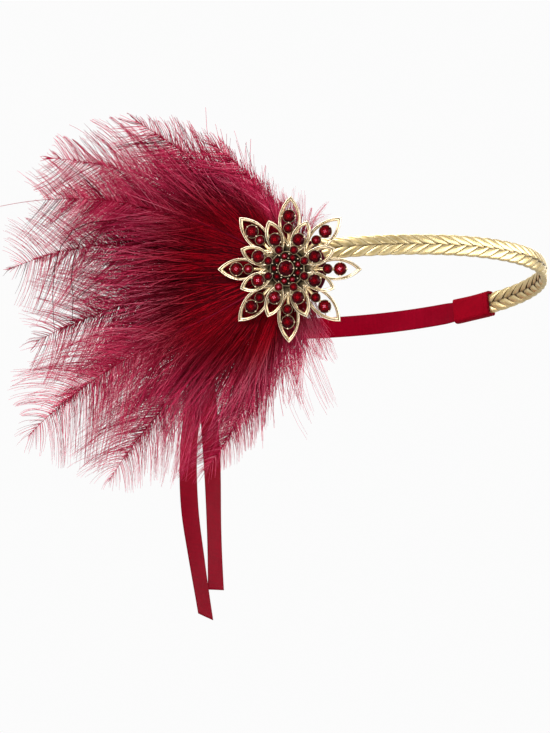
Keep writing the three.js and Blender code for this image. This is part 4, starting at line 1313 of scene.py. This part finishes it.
def jewels():
    """All the stones, each turned a little differently, and the metal that holds them."""
    kinds = stone_places()
    pattern = hidden_pattern("stone_pattern", stone_mesh("stone_pattern"), shade_smooth=False)
    rng = np.random.default_rng(STONE_SEED)
    cups, claws = [], []
    for kind, stones in kinds.items():
        spots, runs = [], []
        for angle in stones["angles"]:
            outwards = np.array([math.cos(angle), math.sin(angle), 0])
            spots.append(outwards * stones["place"])
            runs.append(outwards)
            for i in range(stones["claws"]):
                turn = angle + math.radians(stones["turn"]) + i * 2 * math.pi / stones["claws"]
                lean = np.array([math.cos(turn), math.sin(turn), 0])
                foot = [0, 0, stones["level"] + CUP_HEIGHT + 0.2]
                claws.append((spots[-1] + lean * (stones["radius"] + 0.28) + foot, lean))
        spots, runs = np.array(spots), np.array(runs)
        base = spots + [0, 0, stones["level"]]
        if kind != "ring":
            cups.append((base, runs, stones["radius"]))
        seat = CUP_HEIGHT + CLEARANCE if kind != "ring" else RING_SEAT
        spin = rng.uniform(0, math.pi / 4, len(spots))
        x, y, cosine, sine = runs[:, 0], runs[:, 1], np.cos(spin), np.sin(spin)
        spun_runs = np.stack([x * cosine - y * sine, x * sine + y * cosine, 0 * spin], -1)
        mesh = places_mesh(
            f"{kind}_places", on_ornament(spots + [0, 0, stones["level"] + seat]), turned(spun_runs),
            np.broadcast_to(ORNAMENT_TURN[:, 2], spun_runs.shape),
            np.full((len(spots), 3), stones["radius"]), tone=rng.uniform(-0.5, 0.5, len(spots)),
        )
        piece = grown(f"garnets_{kind}", mesh, PLACES, Part=pattern, Finish=FINISHES["garnet"])
        nodes = [f"stone_{kind}_{i + 1}" for i in range(PETALS)] if kind in STONE_KINDS else []
        settled(piece, "garnet_glass", *(["stone_centre"] if kind == "centre" else nodes))
    cups_and_claws(cups, claws)


def hub():
    """The turned middle that carries both petal rows."""
    outer_base, inner_base = (petal_level(petal, petal["base"]) for petal in (OUTER_PETAL, INNER_PETAL))
    # The hub's lower steps and the crown floor under the small stones are marked dark: painted shade, with
    # antique patina.
    profile = [
        (0, 1.8, 0.5, 0), (5.0, 1.8, 0.5, 0), (5.0, 10.4, 0.8, 0), (11.4, outer_base - 0.3, 0.6, 0),
        (12.1, outer_base + 0.05, 0.1, 0.6), (12.2, outer_base + 0.45, 0.5, 0.2),
        (11.9, outer_base + 0.72, 0.5, 0.1), (9.4, outer_base + 0.7, 0.8, 0),
        (8.8, inner_base - 0.5, 0.9, 0), (8.8, inner_base + 0.1, 0.6, 0.1),
        (8.6, CROWN_LEVEL - 0.1, 0.5, 0.3), (8.3, CROWN_LEVEL, 0.7, 0.1), (8.0, CROWN_LEVEL - 0.25, 1, 0),
        (4.6, CROWN_LEVEL - 0.25, 1, 0), (0, CROWN_LEVEL - 0.25, 1, 0),
    ]
    mesh = lathe_mesh("gilt_hub", profile, 72, on_ornament)
    of_setting(object_of("gilt_hub", mesh, FINISHES["gilt"]))


# A bar's section: sideways, height, and antique patina with painted shade at its foot
BAR_SECTION = [
    (-0.7, 0.1, 0.6), (-0.8, 0.6, 0.3), (-0.45, 1.0, 0.0), (0.45, 1.0, 0.0), (0.8, 0.6, 0.3),
    (0.7, 0.1, 0.6),
]
BAR_RADII = (10.5, 14, 18, 24)


def bars():
    """The bars that run out from the hub under the outer petals."""
    points, faces, patina_and_shade_values = [], [], []
    for i in range(PETALS):
        angle = i * 2 * math.pi / PETALS
        outwards = np.array([math.cos(angle), math.sin(angle), 0])
        aside = np.array([-math.sin(angle), math.cos(angle), 0])
        ring_faces = loft_faces(len(BAR_RADII), len(BAR_SECTION))
        faces += [tuple(c + len(points) for c in face) for face in ring_faces]
        for radius in BAR_RADII:
            level = petal_level(OUTER_PETAL, radius)
            for side, height, patina_and_shade in BAR_SECTION:
                points.append(outwards * radius + aside * side + np.array([0, 0, level + height]))
                patina_and_shade_values.append(patina_and_shade)
    mesh = mesh_of(
        "gilt_spines", on_ornament(points), faces, {"patina_and_shade": patina_and_shade_values, "lip": np.zeros(len(patina_and_shade_values))}
    )
    of_setting(object_of("gilt_spines", facing_out(mesh), FINISHES["gilt"]))


# The plumes
BARB_SHARE = np.linspace(0, 1, BARB_POINTS)
PARTING_LENGTH = 16.0
PUFFING_LENGTH = 60.0
COMB_START = 0.24
COMB_CLUMPS = 40
FLUFF_CLUMPS = 48
TUFT_LEVEL = 6.2
LOW_ANGLE = 200
BED_STEP = (PLUME_BED - CLEARANCE - 2 * QUILL_RADIUS) / 2
BROOCH_EDGE = OUTER_PETAL["tip"] + RIM_WIDTH


def layer_level(layer, radius):
    parted = smooth(radius, PLUME_ROOT, PLUME_ROOT + PARTING_LENGTH)
    puffed = smooth(radius, BROOCH_EDGE, BROOCH_EDGE + PUFFING_LENGTH)
    bed = BACKING_THICKNESS + CLEARANCE + QUILL_RADIUS
    return bed + layer * BED_STEP * parted + (layer - 0.75) * (LAYER_SPREAD - BED_STEP) * puffed


def vane_thickness(radius):
    puffed = smooth(radius, BROOCH_EDGE, BROOCH_EDGE + PUFFING_LENGTH)
    return mix(FLAT_HALF_THICKNESS, VANE_HALF_THICKNESS, puffed)


def lifted(plume, paths, rise):
    """Barb paths with their depth. rise is in shares of the vane's half thickness."""
    radius = np.linalg.norm(paths, axis=2)
    depth = layer_level(plume["layer"], radius) + rise * vane_thickness(radius)
    return np.concatenate([paths, depth[..., None]], -1)


def spine_of(plume, along):
    root, middle, tip = plume["angles"]
    radius = mix(PLUME_ROOT, PLUME_REACH * plume["reach"], along)
    start, end = (2 * along - 1) * (along - 1), along * (2 * along - 1)
    angle = np.radians(root * start + middle * 4 * along * (1 - along) + tip * end)
    return np.stack([radius * np.cos(angle), radius * np.sin(angle)], -1)


def hangs_low(plume):
    return plume["angles"][1] > LOW_ANGLE


def heading_of(plume, along):
    ahead = spine_of(plume, along + 0.01) - spine_of(plume, along - 0.01)
    return np.arctan2(ahead[:, 1], ahead[:, 0])


def fan_edge(angles):
    table = np.array(FAN_EDGE, float)
    return np.interp(np.mod(np.degrees(angles), 360), table[:, 0], table[:, 1], period=360)


def strand_paths(roots, headings, lengths, bend, droop, wave, wave_phase):
    """Paths in the fan's plane that leave their roots at a heading, bend evenly and droop a little."""
    angle = headings[:, None] + bend[:, None] * BARB_SHARE**1.2
    angle = angle + droop[:, None] * BARB_SHARE * np.sin(math.radians(270) - angle)
    angle = angle + wave[:, None] * np.sin(BARB_SHARE * 7 + wave_phase[:, None])
    step = lengths[:, None] / (BARB_POINTS - 1)
    moves = np.stack([np.cos(angle) * step, np.sin(angle) * step], -1)
    moves[:, 0] = 0
    return roots[:, None, :] + np.cumsum(moves, axis=1)


def held_inside(paths_of, lengths, limit):
    """Shortens the barbs whose tips would pass the fan's edge."""
    paths = paths_of(lengths)
    for _ in range(2):
        radius = np.linalg.norm(paths, axis=2)
        edge = fan_edge(np.arctan2(paths[..., 1], paths[..., 0])) * limit[:, None]
        inside = np.cumprod(radius <= edge, axis=1).sum(axis=1) / BARB_POINTS
        lengths = lengths * np.clip(inside, 0.3, 1)
        paths = paths_of(lengths)
    return paths


def clumped(paths, clump, clumps, pull):
    """Barbs lean to their clump's own line, more and more towards the tip."""
    total = np.maximum(np.bincount(clump, minlength=clumps), 1)
    mean = np.stack(
        [
            np.stack([np.bincount(clump, paths[:, i, axis], clumps) for i in range(BARB_POINTS)], -1)
            for axis in (0, 1)
        ],
        -1,
    ) / total[:, None, None]
    return paths + (mean[clump] - paths) * (pull[:, None] * BARB_SHARE**1.6)[..., None]


def comb_of(plume, rng):
    """The plume's long outer barbs, which stand evenly along both sides of the quill like a comb."""
    last = plume.get("comb_end", 1.0)
    length = PLUME_REACH * plume["reach"]
    per_side = int((last - COMB_START) * length / COMB_SPACING)
    along = np.tile(np.linspace(COMB_START, last, per_side), 2)
    count = len(along)
    side = np.repeat([-1.0, 1.0], per_side)
    along = (along + rng.normal(0, 0.0022, count)).clip(0, 1)
    slow = np.sin(along * 17 + side * plume["layer"] + plume["reach"] * 40)
    quick = np.sin(along * 41 + 3 * side)
    drift = lambda size: size * (slow + 0.7 * quick)
    lean = np.interp(along, [COMB_START, 0.5, 0.75, 0.93, 1], [28, 48, 62, 64, 18])
    curl = plume.get("curl", 1.0)
    lean = np.radians(lean * plume.get("open", 1.0) + rng.normal(0, 2.4, count)) + drift(0.09)
    bend = -side * (np.radians(rng.normal(16, 5 * curl, count)) + drift(0.1))
    reach = np.interp(along, [COMB_START, 0.4, 0.6, 0.8, 0.93, 1], [1.6, 1.95, 1.85, 1.4, 1.02, 0.42])
    lengths = PLUME_HALF_WIDTH * plume["width"] * reach * np.exp(rng.normal(0, 0.07, count) + drift(0.04))
    droop = (0.45 if hangs_low(plume) else 0.1) * rng.uniform(0.6, 1.3, count)
    wave, phase = np.abs(rng.normal(0, 0.025 * curl, count)), rng.uniform(0, 2 * math.pi, count)
    roots, headings = spine_of(plume, along), heading_of(plume, along) + side * lean
    paths = held_inside(
        lambda run: strand_paths(roots, headings, run, bend, droop, wave, phase),
        lengths, np.exp(rng.normal(0.02, 0.035, count) + drift(0.02)).clip(0, 1.07),
    )
    clumps = COMB_CLUMPS
    clump = ((along - 0.2) / 0.81 * (clumps / 2 - 1)).astype(int) * 2 + (side > 0)
    loose = rng.uniform(0, 0.25, clumps)
    locked = rng.random(clumps) < plume.get("locks", 0.2)
    pull = loose + locked * rng.uniform(0.4, 0.75, clumps)
    paths = clumped(paths, clump, clumps, pull[clump])
    lie = rng.normal(0.25, 0.18, count) + drift(0.12)
    rise = lie[:, None] * (0.3 + BARB_SHARE) + 0.25 * (1 - BARB_SHARE)
    tint = (0.44 + rng.normal(0, 0.28, count) + drift(0.09)).clip(0, 1)
    thin = mix(0.16, 0.04 + 0.012 * curl, BARB_SHARE**0.8)[None, :] * rng.uniform(0.8, 1.25, count)[:, None]
    return lifted(plume, paths, rise), tint, thin


def fluff_of(plume, rng):
    """The soft shorter barbs between the comb's, dense near the quill and loose at their ends."""
    count = int(FLUFF_PER_PLUME * plume["reach"] * plume.get("fluff", 1.0))
    along = 0.05 + 0.85 * plume.get("comb_end", 1.0) * rng.random(count) ** 0.95
    side = np.where(rng.random(count) < 0.5, -1.0, 1.0)
    clumps = FLUFF_CLUMPS
    row = (along * clumps / 2 + rng.normal(0, 0.25, count)).clip(0, clumps / 2 - 1)
    clump = row.astype(int) * 2 + (side > 0)
    per_clump = lambda spread: rng.normal(0, spread, clumps)[clump]
    lean = np.interp(along, [0, 0.15, 0.3, 0.5, 0.75, 1], [8, 15, 28, 43, 50, 40])
    lean = np.radians(lean + rng.normal(0, 7, count)) + per_clump(0.12)
    bend = -side * (np.radians(rng.normal(22, 10, count)) + per_clump(0.16))
    reach = np.interp(along, [0, 0.15, 0.35, 0.6, 0.8, 1], [0.7, 1.4, 1.75, 1.5, 1.1, 0.7])
    spread = np.exp(rng.normal(-0.08, 0.22, count) + per_clump(0.12))
    lengths = PLUME_HALF_WIDTH * plume["width"] * reach * spread
    free = np.where(along > 0.25, 1.0, 0.2)
    droop = (0.5 if hangs_low(plume) else 0.12) * rng.uniform(0.4, 1.4, count) * free
    wave = np.abs(rng.normal(0, 0.08, count)) * np.interp(along, [0, 0.3, 1], [0.2, 1, 1])
    phase = rng.uniform(0, 2 * math.pi, count)
    roots, headings = spine_of(plume, along), heading_of(plume, along) + side * lean
    paths = held_inside(
        lambda run: strand_paths(roots, headings, run, bend, droop, wave, phase),
        lengths, rng.triangular(0.6, 0.85, 0.99, count) * np.exp(per_clump(0.05)),
    )
    pull = rng.uniform(0.05, 0.65, clumps)[clump] * rng.uniform(0.6, 1.2, count)
    paths = clumped(paths, clump, clumps, pull)
    lie = (rng.normal(-0.05, 0.42, count) + per_clump(0.25)).clip(-0.95, 0.95)
    rise = lie[:, None] * (0.25 + 1.2 * BARB_SHARE)
    # Barbs that lie further forward are tinted paler and those further back darker: painted light and shade
    # by depth, over a random spread.
    tint = (0.46 + rng.normal(0, 0.25, count) + per_clump(0.2) + 0.16 * lie).clip(0, 1)
    thin = mix(0.125, 0.045, BARB_SHARE**0.9)[None, :] * rng.uniform(0.75, 1.3, count)[:, None]
    return lifted(plume, paths, rise), tint, thin


def strays_of(plume, stray_barbs):
    """The plume's long loose barbs, just in front of its vane."""
    paths = np.array(stray_barbs, float)
    rise = 0.9 + 0.4 * np.sin(BARB_SHARE * math.pi)
    thin = np.broadcast_to(mix(0.32, 0.14, BARB_SHARE), paths.shape[:2])
    return lifted(plume, paths, rise), np.zeros(len(paths)), thin


def down_of(plume, rng, count):
    """The soft inner barbs of a plume, which lie along it and close the fan behind the brooch."""
    angles = np.radians(plume["angles"][1] + rng.normal(0, plume.get("down_spread", 13), count))
    roots = np.stack([np.cos(angles), np.sin(angles)], -1) * rng.uniform(9, 30, count)[:, None]
    lengths = rng.uniform(32, 96, count) * (0.45 + 0.55 * plume["reach"])
    bend, wave = rng.normal(0, 0.28, count), np.abs(rng.normal(0, 0.05, count))
    limit = fan_edge(angles) * rng.uniform(0.6, 0.84, count) - np.linalg.norm(roots, axis=1)
    headings = angles + rng.normal(0, 0.12, count)
    paths = strand_paths(
        roots, headings, np.minimum(lengths, limit), bend, rng.uniform(0, 0.25, count), wave,
        rng.uniform(0, 6.28, count),
    )
    rise = rng.uniform(-0.9, 0.5, count)[:, None] * (0.4 + BARB_SHARE)
    locks = rng.normal(0, 0.32, 40)
    lock = ((angles / math.radians(4) + np.linalg.norm(roots, axis=1) * 0.12) % 40).astype(int)
    tint = (0.4 + locks[lock] + rng.normal(0, 0.1, count)).clip(0, 1)
    thin = mix(0.25, 0.09, BARB_SHARE)[None, :] * rng.uniform(0.8, 1.3, count)[:, None]
    return lifted(plume, paths, rise), tint, thin


def tufts_of(plume, rng, first, last, count):
    """Short loose barbs in pointed locks that leave the plume's root and show past the brooch's edge."""
    clumps = count // 9
    clump = rng.integers(0, clumps, count)
    angles = np.radians((rng.uniform(first, last, clumps)[clump] + rng.normal(0, 3.2, count)))
    roots = np.stack([np.cos(angles), np.sin(angles)], -1) * rng.uniform(10, 20, count)[:, None]
    size = rng.normal(-0.14, 0.16, clumps)[clump] + rng.normal(0, 0.07, count)
    lengths = fan_edge(angles) * np.exp(size) - np.linalg.norm(roots, axis=1)
    bend = rng.normal(0, 0.32, clumps)[clump] + rng.normal(0, 0.12, count)
    wave = np.abs(rng.normal(0, 0.06, count))
    droop = rng.uniform(0, 0.5, clumps)[clump]
    paths = strand_paths(
        roots, angles, lengths.clip(6, 200), bend, droop, wave, rng.uniform(0, 6.28, count)
    )
    paths = clumped(paths, clump, clumps, rng.uniform(0.35, 0.95, clumps)[clump])
    radius = np.linalg.norm(paths, axis=2)
    level = np.minimum(layer_level(plume["layer"], radius), TUFT_LEVEL)
    depth = level + rng.normal(0, 0.5, count)[:, None] * BARB_SHARE
    # The tufts' high base tint is painted light that lifts them out of the shade beside the brooch; the rest
    # of the spread is random.
    tint = (0.62 + rng.normal(0, 0.14, clumps)[clump] + rng.normal(0, 0.12, count)).clip(0, 1)
    thin = mix(0.13, 0.05, BARB_SHARE)[None, :] * rng.uniform(0.8, 1.2, count)[:, None]
    return np.concatenate([paths, depth[..., None]], -1), tint, thin


def quill_of(plume):
    """The plume's quill, as one thick chain that tapers to a hair."""
    along = np.linspace(0, 1.0, BARB_POINTS * 5)
    flat = spine_of(plume, along)
    radius = np.linalg.norm(flat, axis=1)
    depth = layer_level(plume["layer"], radius) + 0.35 * vane_thickness(radius)
    return np.column_stack([flat, depth]), np.interp(along, [0, 0.2, 0.7, 1], [0.7, 0.5, 0.24, 0.12])


def plume_piece(name, plume, seed):
    rng = np.random.default_rng(seed)
    down_count = int(DOWN_PER_PLUME * plume.get("down", 1.0))
    groups = [comb_of(plume, rng), fluff_of(plume, rng), down_of(plume, rng, down_count)]
    if name in STRAY_BARBS:
        groups.append(strays_of(plume, STRAY_BARBS[name]))
    if name in TUFTS:
        groups.append(tufts_of(plume, rng, *TUFTS[name]))
    paths, tints, thins = (np.concatenate(column) for column in zip(*groups))
    quill, quill_thin = quill_of(plume)
    flat = paths.reshape(-1, 3)
    count = len(paths)
    share = np.tile(BARB_SHARE, count)
    radius = np.linalg.norm(flat[:, :2], axis=1)
    # Painted shade: barbs darken towards the brooch, where the fan is densest; the quills take a fixed share
    # of it.
    core_shade = 1 - smooth(radius / fan_edge(np.arctan2(flat[:, 1], flat[:, 0])), 0.36, 0.74)
    paled = np.repeat((tints + plume.get("pale", 0)).clip(0, 1), BARB_POINTS)
    colour = np.stack([paled, share, core_shade, np.ones(len(flat))], -1)
    quill_colour = np.tile([0.14, 0.0, 0.3, 1.0], (len(quill), 1))
    quill_colour[:, 0] = np.interp(np.linspace(0, 1, len(quill)), [0.4, 1.0], [0.14, 0.5])
    points = on_ornament(np.concatenate([flat, quill]))
    starts = np.arange(count)[:, None] * BARB_POINTS + np.arange(BARB_POINTS - 1)
    edges = np.stack([starts.ravel(), starts.ravel() + 1], -1)
    last = len(flat) + np.arange(len(quill) - 1)
    edges = np.concatenate([edges, np.stack([last, last + 1], -1)])
    mesh = bpy.data.meshes.new(f"{name}_barbs")
    mesh.vertices.add(len(points))
    mesh.vertices.foreach_set("co", (points * MM).astype(np.float32).ravel())
    mesh.edges.add(len(edges))
    mesh.edges.foreach_set("vertices", edges.astype(np.int32).ravel())
    mesh.update()
    store(mesh, "thin", np.concatenate([thins.ravel(), quill_thin]) * MM)
    store(mesh, "strand", np.concatenate([colour, quill_colour]))
    piece = grown(f"feather_{name}", mesh, STRANDS, Sides=3, Finish=FINISHES["plumage"])
    return settled(piece, "feather", f"plume_{name}")


# Studio, in metres
FLOOR_LEVEL = -3.0
ROOM_STRENGTH = 0.62
LIGHTS_AIM = (-0.03, 0, -0.03)
# Each light's place, size and power in watts
SOFTBOXES = {
    "key_softbox": ((-0.7, -1.3, 0.9), 0.7, 22),
    "fill_softbox": ((1.1, -1.0, 0.1), 0.9, 9),
    "side_softbox": ((1.5, -0.1, 0.1), 1.0, 13),
    "left_softbox": ((-1.3, -0.72, 0.4), 0.8, 10),
    "top_softbox": ((0.1, 0.3, 1.5), 0.8, 12),
    "back_softbox": ((0.2, 1.4, 0.5), 1.0, 8),
    "low_softbox": ((-0.3, -1.2, -1.0), 0.6, 6),
}


def studio():
    scene = bpy.context.scene
    scene.view_settings.view_transform = "Standard"
    place = (0, 0, FLOOR_LEVEL)
    bpy.ops.mesh.primitive_grid_add(x_subdivisions=2, y_subdivisions=2, size=60, location=place)
    floor = bpy.context.object
    floor.name = "pale_floor"
    material, _, _ = finish_of("pale_floor", Roughness=0.9, Base_Color=(0.88, 0.88, 0.88, 1))
    floor.data.materials.append(material)

    world = bpy.data.worlds.new("studio")
    scene.world = world
    world.use_nodes = True
    tree = world.node_tree
    tree.nodes.clear()
    direction = tree.nodes.new("ShaderNodeTexCoord").outputs["Generated"]
    split = add(tree, "ShaderNodeSeparateXYZ", Vector=direction)
    height = maths(tree, "ADD", maths(tree, "MULTIPLY", split.outputs["Z"], 0.5), 0.5)
    glow = ramp(tree, height, [(0.0, 0.40), (0.42, 0.60), (0.55, 0.72), (1.0, 1.0)])
    front = maths(tree, "MULTIPLY", split.outputs["Y"], -0.62, True)
    glow = maths(tree, "MULTIPLY", glow, maths(tree, "SUBTRACT", 1.0, front))
    lit = add(tree, "ShaderNodeBackground", Color=glow, Strength=ROOM_STRENGTH)
    seen = add(tree, "ShaderNodeBackground", Color=(0.97, 0.97, 0.97, 1), Strength=1.0)
    from_camera = tree.nodes.new("ShaderNodeLightPath").outputs["Is Camera Ray"]
    both = add(tree, "ShaderNodeMixShader", Fac=from_camera)
    tree.links.new(lit.outputs[0], both.inputs[1])
    tree.links.new(seen.outputs[0], both.inputs[2])
    add(tree, "ShaderNodeOutputWorld", Surface=both.outputs[0])

    for name, (spot, size, energy) in SOFTBOXES.items():
        light = bpy.data.lights.new(name, "AREA")
        light.size = size
        light.energy = energy
        lamp = bpy.data.objects.new(name, light)
        lamp.location = spot
        lamp.rotation_euler = (Vector(LIGHTS_AIM) - Vector(spot)).to_track_quat("-Z", "Y").to_euler()
        bpy.context.collection.objects.link(lamp)


LENS = 900.0
SENSOR = 36
VIEW_HEIGHT = 366.5
VIEW_CENTRE = -37
VIEW_DROP = 39.75
LOOK_UP = math.radians(14.5)


def camera():
    """The photograph's view: level with the temple and looking up a little, from far off."""
    look = Vector((0, math.cos(LOOK_UP), math.sin(LOOK_UP)))
    up = Vector((0, -math.sin(LOOK_UP), math.cos(LOOK_UP)))
    aim = (Vector((VIEW_CENTRE, 0, 0)) - up * VIEW_DROP) * MM
    data = bpy.data.cameras.new("camera")
    data.lens = LENS
    data.sensor_width = SENSOR
    data.clip_start, data.clip_end = 0.5, 100
    eye = bpy.data.objects.new("camera", data)
    eye.location = aim - look * (VIEW_HEIGHT * MM * LENS / SENSOR)
    eye.rotation_euler = look.to_track_quat("-Z", "Y").to_euler()
    bpy.context.collection.objects.link(eye)
    bpy.context.scene.camera = eye


studio()
camera()
plaited_band()
cloth_pieces()
felt_pad()
petal_frames("gilt_petals_outer", OUTER_PETAL, 0)
petal_frames("gilt_petals_inner", INNER_PETAL, 0.5)
hub()
bars()
jewels()
for index, (plume_name, plume_row) in enumerate(PLUMES.items()):
    plume_piece(plume_name, plume_row, FIRST_PLUME_SEED + index)
for pattern in PATTERNS:
    bpy.data.objects.remove(pattern)
